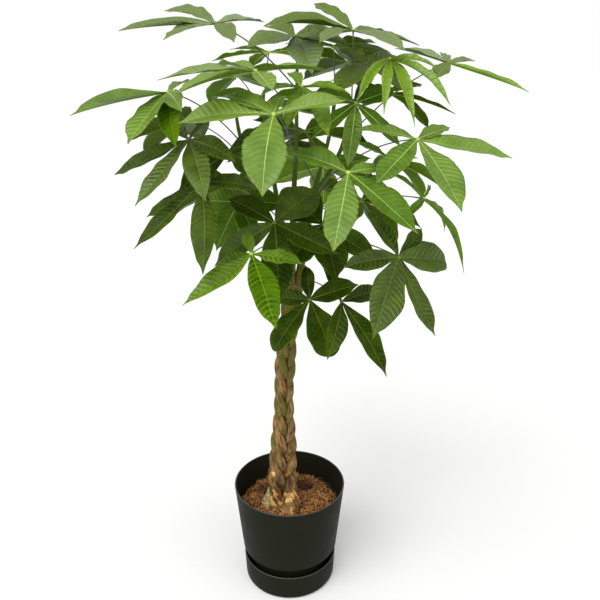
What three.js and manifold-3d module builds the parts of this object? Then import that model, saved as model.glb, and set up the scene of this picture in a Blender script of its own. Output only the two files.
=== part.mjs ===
// A potted money tree: five stems braided into one trunk, hand-shaped leaves on
// long stalks above it, and a round plastic pot that stands in a deep saucer.
// Millimetres, +Z up. The origin is the centre of the saucer's flat underside,
// +X is the right and +Y the back of the plant.

import * as THREE from 'three';
import { mergeVertices } from 'three/addons/utils/BufferGeometryUtils.js';
import Module from 'manifold-3d';

const wasm = await Module();
wasm.setup();

// ---------------------------------------------------------------- driving sizes

const GAP = 0.3;                 // air between pieces that touch
const ROUND_SIDES = 32;          // facets round the pot, the saucer and the soil

const SAUCER_TOP_RADIUS = 102.4;
const SAUCER_FOOT_RADIUS = 99.3;
const SAUCER_HEIGHT = 59;
const SAUCER_EDGE = 8;           // rounding where the saucer's wall meets its underside
const SAUCER_FLOOR = 4;
const POT_RIM_RADIUS = 120;
const POT_RIM_HEIGHT = 235;
const POT_SKIRT_RADIUS = 104;    // the bottom of the pot's outer wall
const POT_SKIRT_HEIGHT = 80;
const POT_FOOT_RADIUS = 88;      // the narrower foot that stands in the saucer
const WALL = 3;                  // wall of the pot and of the saucer

const SOIL_EDGE_HEIGHT = 178;    // soil level at the pot's wall
const SOIL_MOUND = 9;            // how much higher it is at the trunk
const MOUND_SLOPE = 1.6;         // how soon it gets there: 1 at the middle, more before it
const SOIL_LUMP = 3.5;           // height of its lumps
const ROOT_DEPTH = 45;           // how deep the stems stand in the soil

const STEM_COUNT = 5;
const BRAID_PERIOD = 222;        // height of one full turn of a stem through the braid
const BRAID_TURN = 28;           // degrees that the braid's flat side faces right of the front
const BRAID_PHASE = 0.15;        // where the first stem starts, in turns
const BRAID_LOW = 245;           // the braid is regular between these heights
const BRAID_HIGH = 650;
const BRAID_LOOSE = 725;         // above this the stems go their own ways
const BRAID_HALF_SPAN = 0.66;    // sideways swing of a stem, as a share of the half width
const BRAID_HALF_DEPTH = 0.5;    // swing to the front and back, as a share of it
const STEM_SHARE = 0.37;         // radius of a stem, as a share of it
const PRESSED_GAP = 1.4;         // from a stem's pressed face to the line between two stems
const STEM_SIDES = 6;
const STEM_STEP = 225;           // height between a braided stem's rings, times the half width
const SHOOT_STEP = 60;           // height between the rings of a free shoot
const SHOOT_POINT = 7;           // length of the bud at a shoot's end
const SHOOT_FREE = 590;          // the stems' stretch above this is where leaves grow
const FOOT_RADIUS = 10.5;
const FOOT_TOP = 205;            // the feet are straight up to here
const HOLE_GAP = 0.4;            // air round a foot in the soil and round a stem at a stalk

const STALK_RADIUS = 1.6;
const STALK_RISE = 0.16;         // how far a stalk arches up, as a share of its length
const HUB_RADIUS = 4.8;          // the knob that a leaf's leaflets spread from
const HUB_TOP = 0.9;             // height of its point over its middle, per radius
const HUB_BOTTOM = 0.8;          // and of its flat underside under it
const BLADE_WIDE = 0.37;         // width of a leaflet over its length
const BLADE_ROOT = 1.1;          // half width of a leaflet where it leaves the hub
const BLADE_CORE = 0.8;          // half the thickness of a leaflet at its rib
const BLADE_FOLD = 0.22;         // rise of a leaflet's edges over its rib, per half width
const BLADE_ARCH = 0.2;          // arch of a leaflet from hub to tip
const ARCH_SLACK = 0.35;         // how much flatter the arch gets towards the tip
const BLADE_WAVE = 1.4;          // height of the waves in its edges
const WAVES = 9;                 // radians of those waves from hub to tip
const CLEARANCE = 0.7;           // air kept round each leaflet and stalk

// The trunk, from the soil up: height, place of its middle, half its width.
const TRUNK = [
  [185, -19, 34],
  [230, -17, 30],
  [270, -15, 28],
  [340, -12, 25],
  [400, -11, 20],
  [470, -10, 18.5],
  [520, -7, 20],
  [580, -3, 18.5],
  [660, 7, 19],
  [760, 10, 17],
];

// Where each stem meets the soil.
const FEET = [
  [2, -30],
  [-50, -15],
  [-28, -22],
  [-17, 16],
  [14, 10],
];

// Each free shoot above the braid: height, place, radius.
const SHOOTS = [
  [[660, 16, -6, 8.5], [740, 26, -8, 7.5], [840, 42, -10, 5.8], [960, 100, -14, 3.8], [1060, 126, -8, 2.6]],
  [[660, 4, 10, 8], [740, -2, 20, 6.5], [860, -24, 56, 4.8], [960, -42, 86, 3.6], [1040, -48, 104, 2.6]],
  [[660, -4, 2, 8], [740, -14, 4, 6.5], [860, -52, 6, 4.8], [960, -84, 12, 3.6], [1040, -98, 20, 2.6]],
  [[660, 4, -8, 8.5], [740, 8, -16, 7.2], [860, 11, -22, 5.2], [960, 16, -24, 3.8], [1090, 18, -26, 2.6]],
  [[660, 16, 8, 8], [740, 26, 16, 6.5], [860, 50, 50, 4.8], [960, 78, 76, 3.6], [1050, 92, 92, 2.6]],
];

// The leaves at the front, sides and top. Each has the stem it grows on, the
// height where its stalk leaves the stem, the place of its hub, the way its upper
// side faces (degrees round from +X) and its tilt from level, and its leaflets:
// degrees round from the leaf's downhill line, length, and degrees raised out of
// the leaf's plane. 'wide' is a leaflet's width over its length.
const LEAVES = [
  { stem: 3, at: 1055, hub: [-115, -60, 1160], facing: -100, tilt: 12, tone: 'dark',
    leaflets: [[-61, 155, 2], [-117, 120, 7], [-31, 110, -3], [140, 100, -5], [33, 95, -8]] },
  { stem: 3, at: 985, hub: [-43, -180, 1088], facing: -110, tilt: 12, tone: 'bright',
    leaflets: [[-71, 150, 0], [-28, 142, 0], [96, 113, 0], [-120, 100, 0], [38, 90, -6]] },
  { stem: 2, at: 960, hub: [-190, -110, 1055], facing: -160, tilt: 22, tone: 'bright',
    leaflets: [[18, 165, 12], [46, 145, -12], [70, 125, -32], [87, 95, -14], [-125, 90, -2]] },
  { stem: 3, at: 930, hub: [-15, -240, 1030], facing: -100, tilt: 40, tone: 'bright', wide: 0.42,
    leaflets: [[1, 135, -8], [-84, 145, -1], [-122, 105, -7], [113, 110, -5], [179, 60, -16]] },
  { stem: 2, at: 880, hub: [-155, -150, 985], facing: -120, tilt: 48, tone: 'dark',
    leaflets: [[-63, 150, -5], [-10, 140, 8], [38, 130, -2], [72, 120, 4], [165, 105, -16],
      [-126, 80, -9]] },
  { stem: 2, at: 830, hub: [-135, -170, 920], facing: -120, tilt: 55, tone: 'dark',
    leaflets: [[-22, 150, 14], [24, 160, 2], [-60, 125, -10], [95, 100, -10], [-154, 60, 5]] },
  { stem: 3, at: 800, hub: [-20, -130, 845], facing: -90, tilt: 55, tone: 'dark',
    leaflets: [[3, 150, 7], [57, 130, 18], [-55, 125, -6], [-125, 105, -14], [135, 110, -14]] },
  { stem: 3, at: 760, hub: [-55, -200, 810], facing: -110, tilt: 30, tone: 'young', wide: 0.42,
    leaflets: [[-26, 145, 6], [33, 155, -5], [84, 92, 1], [-152, 60, 0], [-83, 80, -30]] },
  { stem: 0, at: 700, hub: [95, -150, 710], facing: -60, tilt: 60, tone: 'dark',
    leaflets: [[8, 150, 18], [96, 95, -6], [-35, 110, 6], [-175, 80, -8]] },
  { stem: 3, at: 690, hub: [40, -140, 710], facing: -110, tilt: 60, tone: 'dark', wide: 0.46,
    leaflets: [[-21, 110, 16], [30, 105, -14], [-90, 75, -12], [112, 95, 10], [-160, 70, -10]] },
  { stem: 0, at: 780, hub: [190, -150, 790], facing: -60, tilt: 60, tone: 'dark', wide: 0.42,
    leaflets: [[-38, 155, 1], [-91, 112, -1], [18, 150, -7], [78, 112, 4], [122, 90, -7],
      [-170, 105, -16]] },
  { stem: 0, at: 895, hub: [210, -150, 985], facing: -60, tilt: 32, tone: 'bright', wide: 0.4,
    leaflets: [[67, 168, 2], [-5, 155, -3], [-60, 128, -11], [-138, 105, -16], [105, 85, 3]] },
  { stem: 0, at: 860, hub: [95, -230, 945], facing: -80, tilt: 48, tone: 'bright', wide: 0.42,
    leaflets: [[-18, 140, 4], [32, 150, 13], [-127, 105, -16], [110, 62, -18], [70, 95, -24]] },
  { stem: 0, at: 1010, hub: [110, -60, 1150], facing: -80, tilt: 12, tone: 'bright',
    leaflets: [[-149, 105, 18], [-87, 150, 5], [129, 95, -6], [24, 130, -1], [-42, 110, 0], [70, 110, -6]] },
  { stem: 0, at: 965, hub: [270, -60, 1100], facing: -60, tilt: 14, tone: 'dark', wide: 0.3,
    leaflets: [[17, 150, -2], [-157, 105, 1], [151, 60, 4], [100, 72, 1], [-53, 90, -7]] },
  { stem: 0, at: 1035, hub: [165, -110, 1105], facing: -80, tilt: 40, tone: 'young', wide: 0.24,
    leaflets: [[-40, 105, 2], [-16, 110, 0], [8, 125, -4], [36, 125, 6], [72, 80, 6]] },
  { stem: 0, at: 830, hub: [235, -100, 880], facing: -30, tilt: 50, tone: 'young', wide: 0.24,
    leaflets: [[-24, 145, 7], [-165, 90, -14], [56, 110, -16], [-84, 95, -10], [110, 70, 0]] },
  { stem: 3, at: 1030, hub: [25, -150, 1065], facing: -100, tilt: 20, tone: 'young',
    leaflets: [[-38, 85, 11], [31, 110, -18], [90, 80, -6], [-156, 70, 1], [-8, 85, -20]] },
  { stem: 0, at: 985, hub: [118, -55, 1035], facing: -90, tilt: 58, tone: 'bright',
    leaflets: [[-8, 125, 8], [42, 110, 4], [-48, 105, 6], [110, 80, -10], [-110, 80, -8]] },
  { stem: 2, at: 905, hub: [-103, -50, 952], facing: -100, tilt: 50, tone: 'dark',
    leaflets: [[65, 105, 0], [-45, 110, 0], [120, 85, 0], [-100, 80, 0]] },
  { stem: 3, at: 1078, hub: [15, -20, 1142], facing: -90, tilt: 25, tone: 'dark', wide: 0.44,
    leaflets: [[-46, 112, 8], [14, 115, -6], [120, 90, -6], [-140, 85, -6], [66, 100, 0]] },
  { stem: 0, at: 1050, hub: [135, -25, 1098], facing: -90, tilt: 30, tone: 'dark',
    leaflets: [[-28, 110, 4], [30, 95, 6], [-150, 80, -8], [120, 80, -8]] },
  { stem: 2, at: 800, hub: [-85, -60, 865], facing: -110, tilt: 55, tone: 'bright', wide: 0.44,
    leaflets: [[38, 78, 5], [-20, 95, -10], [-95, 80, -12], [95, 80, -6]] },
  { stem: 1, at: 1020, hub: [-35, 85, 1118], facing: 110, tilt: 12, tone: 'bright',
    leaflets: [[0, 135, 0], [55, 115, 0], [-55, 120, 0], [108, 85, 0], [-108, 85, 0]] },
  { stem: 4, at: 1030, hub: [85, 70, 1128], facing: 70, tilt: 12, tone: 'dark',
    leaflets: [[0, 135, 0], [55, 115, 0], [-55, 120, 0], [108, 90, 0], [-108, 90, 0]] },
  { stem: 0, at: 770, hub: [62, -90, 832], facing: -80, tilt: 60, tone: 'dark',
    leaflets: [[50, 112, 14], [5, 110, 16], [-44, 105, 14], [130, 80, -12], [-140, 90, -16]] },
];

// The leaves that fill the back are set by a rule.
const BACK_LEAVES = 11;
// For the lowest and the highest of them: the height where the stalk leaves its
// stem, how far out and how much higher the hub is, and the tilt of the leaf.
const BACK_LEAF_AT = [770, 1030];
const BACK_LEAF_REACH = [215, 105];
const BACK_LEAF_RISE = [45, 85];
const BACK_LEAF_TILT = [50, 14];
const BACK_FAN = [-2, -1, 0, 1, 2];
const BACK_FAN_STEP = 57;        // degrees between their leaflets
const SHORT_LEAFLET = 92;        // leaflets beside the stalk
const LONG_LEAFLET = 152;        // leaflets that point outwards
const GOLDEN_TURN = 0.618;
const SEED = 8;

// ---------------------------------------------------------------- small helpers

const vec = (x, y, z) => new THREE.Vector3(x, y, z);
const radians = (degrees) => THREE.MathUtils.degToRad(degrees);
const smooth = (t) => THREE.MathUtils.smoothstep(t, 0, 1);

function seeded(seed) {
  let state = seed;
  return () => {
    state = (state * 1664525 + 1013904223) % 4294967296;
    return state / 4294967296;
  };
}

// A value at a height, smoothly between the rows of a table that starts with heights.
function along(rows, height, column) {
  const last = rows.length - 1;
  const z = Math.min(Math.max(height, rows[0][0]), rows[last][0]);
  let i = 0;
  while (i < last - 1 && z > rows[i + 1][0]) i += 1;
  const slope = (k) => {
    const below = rows[Math.max(k - 1, 0)];
    const above = rows[Math.min(k + 1, last)];
    return (above[column] - below[column]) / (above[0] - below[0]);
  };
  const span = rows[i + 1][0] - rows[i][0];
  const t = (z - rows[i][0]) / span;
  const start = rows[i][column];
  const end = rows[i + 1][column];
  const bend = start * (2 * t ** 3 - 3 * t ** 2 + 1) + end * (3 * t ** 2 - 2 * t ** 3);
  return bend + span * (slope(i) * (t ** 3 - 2 * t ** 2 + t) + slope(i + 1) * (t ** 3 - t ** 2));
}

// ---------------------------------------------------------------- closed bodies

// A closed body through rings that have the same number of points, with a flat
// start and a flat or pointed end. Its diagonals alternate from side to side, so
// the upper and lower faces of a blade are split alike.
function loft(rings, tip = null) {
  const sides = rings[0].length;
  const points = rings.flat();
  const faces = [];
  const last = (rings.length - 1) * sides;
  for (let k = 1; k < sides - 1; k += 1) faces.push([0, k + 1, k]);
  for (let i = 0; i < rings.length - 1; i += 1) {
    for (let k = 0; k < sides; k += 1) {
      const a = i * sides + k;
      const b = i * sides + (k + 1) % sides;
      if (k % 2 === 0) faces.push([a, b, b + sides], [a, b + sides, a + sides]);
      else faces.push([a, b, a + sides], [b, b + sides, a + sides]);
    }
  }
  if (tip) {
    points.push(tip);
    for (let k = 0; k < sides; k += 1) faces.push([last + k, last + (k + 1) % sides, points.length - 1]);
  } else {
    for (let k = 1; k < sides - 1; k += 1) faces.push([last, last + k, last + k + 1]);
  }
  return { points, faces };
}

function geometryOf(body) {
  const geometry = new THREE.BufferGeometry().setFromPoints(body.points);
  geometry.setIndex(body.faces.flat());
  return geometry;
}

function solidOf(geometry) {
  const bare = geometry.clone();
  bare.deleteAttribute('normal');
  bare.deleteAttribute('uv');
  const merged = mergeVertices(bare, 1e-3);
  return new wasm.Manifold(new wasm.Mesh({
    numProp: 3,
    vertProperties: new Float32Array(merged.attributes.position.array),
    triVerts: new Uint32Array(merged.index.array),
  }));
}

function geometryFrom(solid) {
  const mesh = solid.getMesh();
  const geometry = new THREE.BufferGeometry();
  geometry.setAttribute('position', new THREE.BufferAttribute(new Float32Array(mesh.vertProperties), 3));
  geometry.setIndex(new THREE.BufferAttribute(new Uint32Array(mesh.triVerts), 1));
  return geometry;
}

// A turned piece from its outline in radius and height, with +Z as its axis.
function turned(outline) {
  const profile = outline.map(([radius, height]) => new THREE.Vector2(radius, height));
  return new THREE.LatheGeometry(profile, ROUND_SIDES).rotateX(Math.PI / 2);
}

// ---------------------------------------------------------------- pot and saucer

const { mapLinear } = THREE.MathUtils;
const saucerRadius = (z) => mapLinear(z, 0, SAUCER_HEIGHT, SAUCER_FOOT_RADIUS, SAUCER_TOP_RADIUS);
const potRadius = (z) => mapLinear(z, POT_SKIRT_HEIGHT, POT_RIM_HEIGHT, POT_SKIRT_RADIUS, POT_RIM_RADIUS);

function makeSaucer() {
  const edgeTurn = SAUCER_EDGE * 0.3;
  return turned([
    [0, 0],
    [SAUCER_FOOT_RADIUS - SAUCER_EDGE, 0],
    [SAUCER_FOOT_RADIUS - edgeTurn, edgeTurn],
    [saucerRadius(SAUCER_EDGE), SAUCER_EDGE],
    [SAUCER_TOP_RADIUS, SAUCER_HEIGHT - 1],
    [SAUCER_TOP_RADIUS - 1, SAUCER_HEIGHT],
    [SAUCER_TOP_RADIUS - WALL, SAUCER_HEIGHT],
    [saucerRadius(SAUCER_EDGE) - WALL, SAUCER_EDGE + WALL],
    [SAUCER_FOOT_RADIUS - SAUCER_EDGE - WALL, SAUCER_FLOOR],
    [0, SAUCER_FLOOR],
  ]);
}

const POT_BASE = SAUCER_FLOOR + GAP;
const POT_FLOOR = POT_BASE + WALL;
const STEP_INNER_HEIGHT = POT_SKIRT_HEIGHT + WALL;

function makePot() {
  const lip = 1.5;
  return turned([
    [0, POT_BASE],
    [POT_FOOT_RADIUS - 4, POT_BASE],
    [POT_FOOT_RADIUS, POT_BASE + 4],
    [POT_FOOT_RADIUS, POT_SKIRT_HEIGHT],
    [POT_SKIRT_RADIUS - lip, POT_SKIRT_HEIGHT],
    [potRadius(POT_SKIRT_HEIGHT + 2 * lip), POT_SKIRT_HEIGHT + 2 * lip],
    [potRadius(POT_RIM_HEIGHT - lip), POT_RIM_HEIGHT - lip],
    [POT_RIM_RADIUS - lip, POT_RIM_HEIGHT],
    [POT_RIM_RADIUS - WALL, POT_RIM_HEIGHT],
    [potRadius(STEP_INNER_HEIGHT) - WALL, STEP_INNER_HEIGHT],
    [POT_FOOT_RADIUS - WALL, STEP_INNER_HEIGHT],
    [POT_FOOT_RADIUS - WALL, POT_FLOOR],
    [0, POT_FLOOR],
  ]);
}

// ---------------------------------------------------------------- soil

// The lumps in the soil, as waves that cross each other.
function lump(x, y) {
  const broad = Math.sin(x / 13 + 1.3) * Math.cos(y / 11 - 0.4);
  const fine = Math.sin(x / 6.1 - y / 7.3 + 2);
  return SOIL_LUMP * (0.7 * broad + 0.3 * fine);
}

function makeSoil(footHoles) {
  const edge = potRadius(SOIL_EDGE_HEIGHT) - WALL - GAP;
  const under = POT_FOOT_RADIUS - WALL - GAP;
  const surface = [0.93, 0.76, 0.58, 0.4, 0.2, 0].map((share) => [edge * share, SOIL_EDGE_HEIGHT + 1]);
  const geometry = turned([
    [0, POT_FLOOR + GAP],
    [under, POT_FLOOR + GAP],
    [under, STEP_INNER_HEIGHT + GAP],
    [potRadius(STEP_INNER_HEIGHT) - WALL - 2 * GAP, STEP_INNER_HEIGHT + GAP],
    [edge, SOIL_EDGE_HEIGHT],
    ...surface,
  ]);
  const place = geometry.attributes.position;
  for (let i = 0; i < place.count; i += 1) {
    const x = place.getX(i);
    const y = place.getY(i);
    if (place.getZ(i) > SOIL_EDGE_HEIGHT + 0.5) {
      const inward = 1 - Math.hypot(x, y) / edge;
      place.setZ(i, SOIL_EDGE_HEIGHT + SOIL_MOUND * smooth(inward * MOUND_SLOPE) + lump(x, y));
    }
  }
  return footHoles.reduce((soil, hole) => soil.subtract(hole), solidOf(geometry));
}

// ---------------------------------------------------------------- stems

// The middle of a stem in the braid: a loop that crosses itself once, run through
// by all five stems one behind the other.
function braidMiddle(stem, z) {
  const half = along(TRUNK, z, 2);
  const phase = 2 * Math.PI * (stem / STEM_COUNT + BRAID_PHASE - z / BRAID_PERIOD);
  const across = BRAID_HALF_SPAN * half * Math.cos(phase);
  const ahead = -BRAID_HALF_DEPTH * half * Math.sin(2 * phase);
  const turn = radians(BRAID_TURN);
  return [
    along(TRUNK, z, 1) + across * Math.cos(turn) - ahead * Math.sin(turn),
    across * Math.sin(turn) + ahead * Math.cos(turn),
  ];
}

// The straight line of a stem's foot, through its place at the soil.
function footMiddle(stem, z) {
  const goal = braidMiddle(stem, BRAID_LOW);
  const rise = (z - SOIL_EDGE_HEIGHT) / (BRAID_LOW - SOIL_EDGE_HEIGHT);
  return FEET[stem].map((start, axis) => start + (goal[axis] - start) * rise * 0.8);
}

function mix(from, to, share) {
  return from.map((start, axis) => start + (to[axis] - start) * share);
}

function stemMiddle(stem, z) {
  if (z <= FOOT_TOP) return footMiddle(stem, z);
  if (z < BRAID_LOW) {
    const share = smooth((z - FOOT_TOP) / (BRAID_LOW - FOOT_TOP));
    return mix(footMiddle(stem, z), braidMiddle(stem, z), share);
  }
  if (z <= BRAID_HIGH) return braidMiddle(stem, z);
  const free = [along(SHOOTS[stem], z, 1), along(SHOOTS[stem], z, 2)];
  return mix(braidMiddle(stem, z), free, smooth((z - BRAID_HIGH) / (BRAID_LOOSE - BRAID_HIGH)));
}

function stemRadius(stem, z) {
  const braided = STEM_SHARE * along(TRUNK, z, 2);
  if (z < BRAID_LOW) {
    const share = smooth((z - FOOT_TOP) / (BRAID_LOW - FOOT_TOP));
    return FOOT_RADIUS + (braided - FOOT_RADIUS) * share;
  }
  const free = along(SHOOTS[stem], z, 3);
  return braided + (free - braided) * smooth((z - BRAID_HIGH) / (BRAID_LOOSE - BRAID_HIGH));
}

// A level ring round a stem. Where its neighbours press on it, the round section
// is flattened at the line half way between the two stems.
function stemRing(stem, z, grow = 0) {
  const [x, y] = stemMiddle(stem, z);
  const radius = stemRadius(stem, z) + grow;
  const ring = [];
  for (let k = 0; k < STEM_SIDES; k += 1) {
    const angle = 2 * Math.PI * k / STEM_SIDES;
    let reach = radius;
    for (let other = 0; other < STEM_COUNT; other += 1) {
      const [ox, oy] = stemMiddle(other, z);
      const distance = Math.hypot(ox - x, oy - y);
      const facing = (Math.cos(angle) * (ox - x) + Math.sin(angle) * (oy - y)) / (distance || 1);
      if (other !== stem && facing > 0) {
        reach = Math.min(reach, (distance / 2 - PRESSED_GAP + grow) / facing);
      }
    }
    ring.push(vec(x + reach * Math.cos(angle), y + reach * Math.sin(angle), z));
  }
  return ring;
}

function heights(from, to, step) {
  const count = Math.ceil((to - from) / step);
  return Array.from({ length: count + 1 }, (_, i) => from + (to - from) * i / count);
}

const ROOT_END = SOIL_EDGE_HEIGHT - ROOT_DEPTH;
const shootEnd = (stem) => SHOOTS[stem][SHOOTS[stem].length - 1][0];

// The heights of a stem's rings: close together in the braid, far apart above it.
function stemLevels(stem) {
  const braided = [];
  for (let z = FOOT_TOP; z < BRAID_LOOSE; z += STEM_STEP / along(TRUNK, z, 2)) braided.push(z);
  return [ROOT_END, ...braided, ...heights(BRAID_LOOSE, shootEnd(stem), SHOOT_STEP)];
}

function stemBody(stem, grow) {
  const levels = stemLevels(stem).filter((z) => grow === 0 || z > SHOOT_FREE);
  const [x, y] = stemMiddle(stem, shootEnd(stem));
  const point = vec(x, y, shootEnd(stem) + SHOOT_POINT + 2 * grow);
  return loft(levels.map((z) => stemRing(stem, z, grow)), point);
}

// The slanted hole in the soil for a stem's foot.
function makeFootHole(stem) {
  return loft([ROOT_END - GAP, FOOT_TOP + 20].map((z) => {
    const [x, y] = footMiddle(stem, z);
    return stemRing(stem, ROOT_END, HOLE_GAP).map((corner) => {
      const [fx, fy] = footMiddle(stem, ROOT_END);
      return vec(corner.x - fx + x, corner.y - fy + y, z);
    });
  }));
}

// ---------------------------------------------------------------- leaves

// The directions of a leaf: out of its upper side, downhill in it, and across.
function leafFrame(leaf) {
  const turn = radians(leaf.facing);
  const tilt = radians(leaf.tilt);
  const up = vec(Math.sin(tilt) * Math.cos(turn), Math.sin(tilt) * Math.sin(turn), Math.cos(tilt));
  const down = vec(Math.cos(tilt) * Math.cos(turn), Math.cos(tilt) * Math.sin(turn), -Math.sin(tilt));
  return { up, down, across: vec(-Math.sin(turn), Math.cos(turn), 0) };
}

// Stations along a leaflet, from its base to near its tip.
const BLADE_STATIONS = [0.012, 0.27, 0.55, 0.81];

// The outline of a leaflet, widest a little past its middle: 1 there and 0 at its ends.
const BASE_TAPER = 1.35;
const TIP_TAPER = 0.85;
const WIDEST = BASE_TAPER / (BASE_TAPER + TIP_TAPER);
function bladeWidth(s) {
  const fullest = WIDEST ** BASE_TAPER * (1 - WIDEST) ** TIP_TAPER;
  return s ** BASE_TAPER * (1 - s) ** TIP_TAPER / fullest;
}

// A leaflet: a thin arched blade, folded up along its rib, with waves in its edges.
function bladeBody(leaf, [degrees, length, lift], margin) {
  const { up, down, across } = leafFrame(leaf);
  const angle = radians(degrees);
  const level = down.clone().multiplyScalar(Math.cos(angle)).addScaledVector(across, Math.sin(angle));
  const rise = radians(lift);
  const ahead = level.clone().multiplyScalar(Math.cos(rise)).addScaledVector(up, Math.sin(rise));
  const top = up.clone().multiplyScalar(Math.cos(rise)).addScaledVector(level, -Math.sin(rise));
  const left = top.clone().cross(ahead);
  const hub = vec(...leaf.hub);
  const half = length * (leaf.wide ?? BLADE_WIDE) / 2;
  const rib = (s) => hub.clone().addScaledVector(ahead, length * s)
    .addScaledVector(top, BLADE_ARCH * length * s * (1 - s) * (1 - ARCH_SLACK * s));
  const rings = BLADE_STATIONS.map((s) => {
    const width = half * bladeWidth(s) + BLADE_ROOT + margin;
    const core = BLADE_CORE + margin;
    const edge = (side) => rib(s).addScaledVector(left, side * width).addScaledVector(
      top, BLADE_FOLD * width + BLADE_WAVE * Math.sin(WAVES * s + 2 * side + degrees));
    return [edge(1), rib(s).addScaledVector(top, core), edge(-1), rib(s).addScaledVector(top, -core)];
  });
  return loft(rings, rib(1).addScaledVector(ahead, margin));
}

// The four corners of a stalk's or a hub's section.
const CORNERS = [[1, 0], [0, 1], [-1, 0], [0, -1]];

// A leaf's stalk, from the middle of its stem to its hub, arched up and, if the way
// is blocked, bent aside.
const STALK_STATIONS = [0, 0.3, 0.65, 1];
function stalkBody(leaf, [aside, higher], margin) {
  const [x, y] = stemMiddle(leaf.stem, leaf.at);
  const start = vec(x, y, leaf.at);
  const end = vec(...leaf.hub);
  const span = end.clone().sub(start);
  const sideways = vec(-span.y, span.x, 0).normalize();
  const middle = start.clone().addScaledVector(span, 0.5)
    .addScaledVector(sideways, aside)
    .add(vec(0, 0, STALK_RISE * span.length() + higher));
  const curve = new THREE.QuadraticBezierCurve3(start, middle, end);
  const radius = STALK_RADIUS + margin;
  const rings = STALK_STATIONS.map((s) => {
    const ahead = curve.getTangent(s);
    const left = vec(0, 0, 1).cross(ahead).normalize();
    const top = ahead.clone().cross(left);
    return CORNERS.map(([a, b]) => (
      curve.getPoint(s).addScaledVector(left, a * radius).addScaledVector(top, b * radius)));
  });
  return loft(rings);
}

function hubBody(leaf, margin) {
  const { up, down, across } = leafFrame(leaf);
  const radius = HUB_RADIUS + margin;
  const centre = (height) => vec(...leaf.hub).addScaledVector(up, height);
  const square = (reach, height) => CORNERS.map(([a, b]) => (
    centre(height).addScaledVector(down, a * reach).addScaledVector(across, b * reach)));
  const rings = [square(radius / 3, -HUB_BOTTOM * radius), square(radius, 0)];
  return loft(rings, centre(HUB_TOP * radius));
}

// ---------------------------------------------------------------- keeping leaves apart

function withBounds(body) {
  const box = new THREE.Box3().setFromPoints(body.points);
  const edges = body.faces.flatMap(([a, b, c]) => [[a, b], [b, c], [c, a]]).filter(([a, b]) => a < b);
  return { ...body, box, edges };
}

// Six times the volume of the corner a, b, c, d, which tells the side d lies on.
function sideOf(a, b, c, d) {
  const ux = b.x - a.x;
  const uy = b.y - a.y;
  const uz = b.z - a.z;
  const vx = c.x - a.x;
  const vy = c.y - a.y;
  const vz = c.z - a.z;
  return (uy * vz - uz * vy) * (d.x - a.x) + (uz * vx - ux * vz) * (d.y - a.y)
    + (ux * vy - uy * vx) * (d.z - a.z);
}

function edgePierces(one, other) {
  for (const [i, j] of one.edges) {
    const p = one.points[i];
    const q = one.points[j];
    const near = Math.max(p.x, q.x) >= other.box.min.x && Math.min(p.x, q.x) <= other.box.max.x
      && Math.max(p.y, q.y) >= other.box.min.y && Math.min(p.y, q.y) <= other.box.max.y
      && Math.max(p.z, q.z) >= other.box.min.z && Math.min(p.z, q.z) <= other.box.max.z;
    if (!near) continue;
    for (const [a, b, c] of other.faces) {
      const A = other.points[a];
      const B = other.points[b];
      const C = other.points[c];
      if (sideOf(A, B, C, p) * sideOf(A, B, C, q) >= 0) continue;
      const first = sideOf(p, q, A, B) > 0;
      if (first === sideOf(p, q, B, C) > 0 && first === sideOf(p, q, C, A) > 0) return true;
    }
  }
  return false;
}

function meets(one, others) {
  return others.some((other) => one.box.intersectsBox(other.box)
    && (edgePierces(one, other) || edgePierces(other, one)));
}

// How a leaflet or a stalk that would cross a neighbour is bent, in the order tried.
const LEAFLET_BENDS = [
  [0, 0], [0, 7], [0, -7], [7, 0], [-7, 0], [7, 7], [-7, 7], [7, -7], [-7, -7], [0, 14], [0, -14],
  [14, 0], [-14, 0], [10, 14], [-10, 14], [10, -14], [-10, -14], [0, 22], [0, -22], [12, 24], [-12, 24],
  [12, -24], [-12, -24], [0, 32], [0, -34],
];
const LEAFLET_SIZES = [1, 0.86, 0.72];
const STALK_BENDS = [
  [0, 0], [12, 0], [-12, 0], [0, 14], [0, -14], [24, 0], [-24, 0], [20, 16], [-20, 16], [20, -16],
  [-20, -16], [38, 0], [-38, 0], [0, 30], [0, -30], [36, 26], [-36, 26], [50, 0], [-50, 0],
];

function growStalk(leaf, taken, otherStems) {
  const bend = STALK_BENDS.find((choice) => {
    const wide = withBounds(stalkBody(leaf, choice, CLEARANCE));
    return !meets(wide, taken) && !meets(wide, otherStems);
  });
  return bend ? withBounds(stalkBody(leaf, bend, 0)) : null;
}

function growLeaflet(leaf, [degrees, length, lift], taken) {
  for (const size of LEAFLET_SIZES) {
    for (const [swing, raise] of LEAFLET_BENDS) {
      const shape = [degrees + swing, length * size, lift + raise];
      if (!meets(withBounds(bladeBody(leaf, shape, CLEARANCE)), taken)) {
        return withBounds(bladeBody(leaf, shape, 0));
      }
    }
  }
  return null;
}

// All leaves in order, each kept clear of the stems and of the leaves before it.
function growLeaves(leaves, stems) {
  const taken = [...stems];
  const grown = [];
  for (const leaf of leaves) {
    const otherStems = stems.filter((_, k) => k !== leaf.stem);
    const stalk = growStalk(leaf, taken.filter((body) => !stems.includes(body)), otherStems);
    const hub = withBounds(hubBody(leaf, CLEARANCE));
    if (!stalk || meets(hub, taken)) continue;
    const leaflets = leaf.leaflets.map((leaflet) => growLeaflet(leaf, leaflet, taken)).filter(Boolean);
    const parts = [stalk, withBounds(hubBody(leaf, 0)), ...leaflets];
    taken.push(...parts);
    grown.push({ leaf, parts });
  }
  return grown;
}

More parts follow.
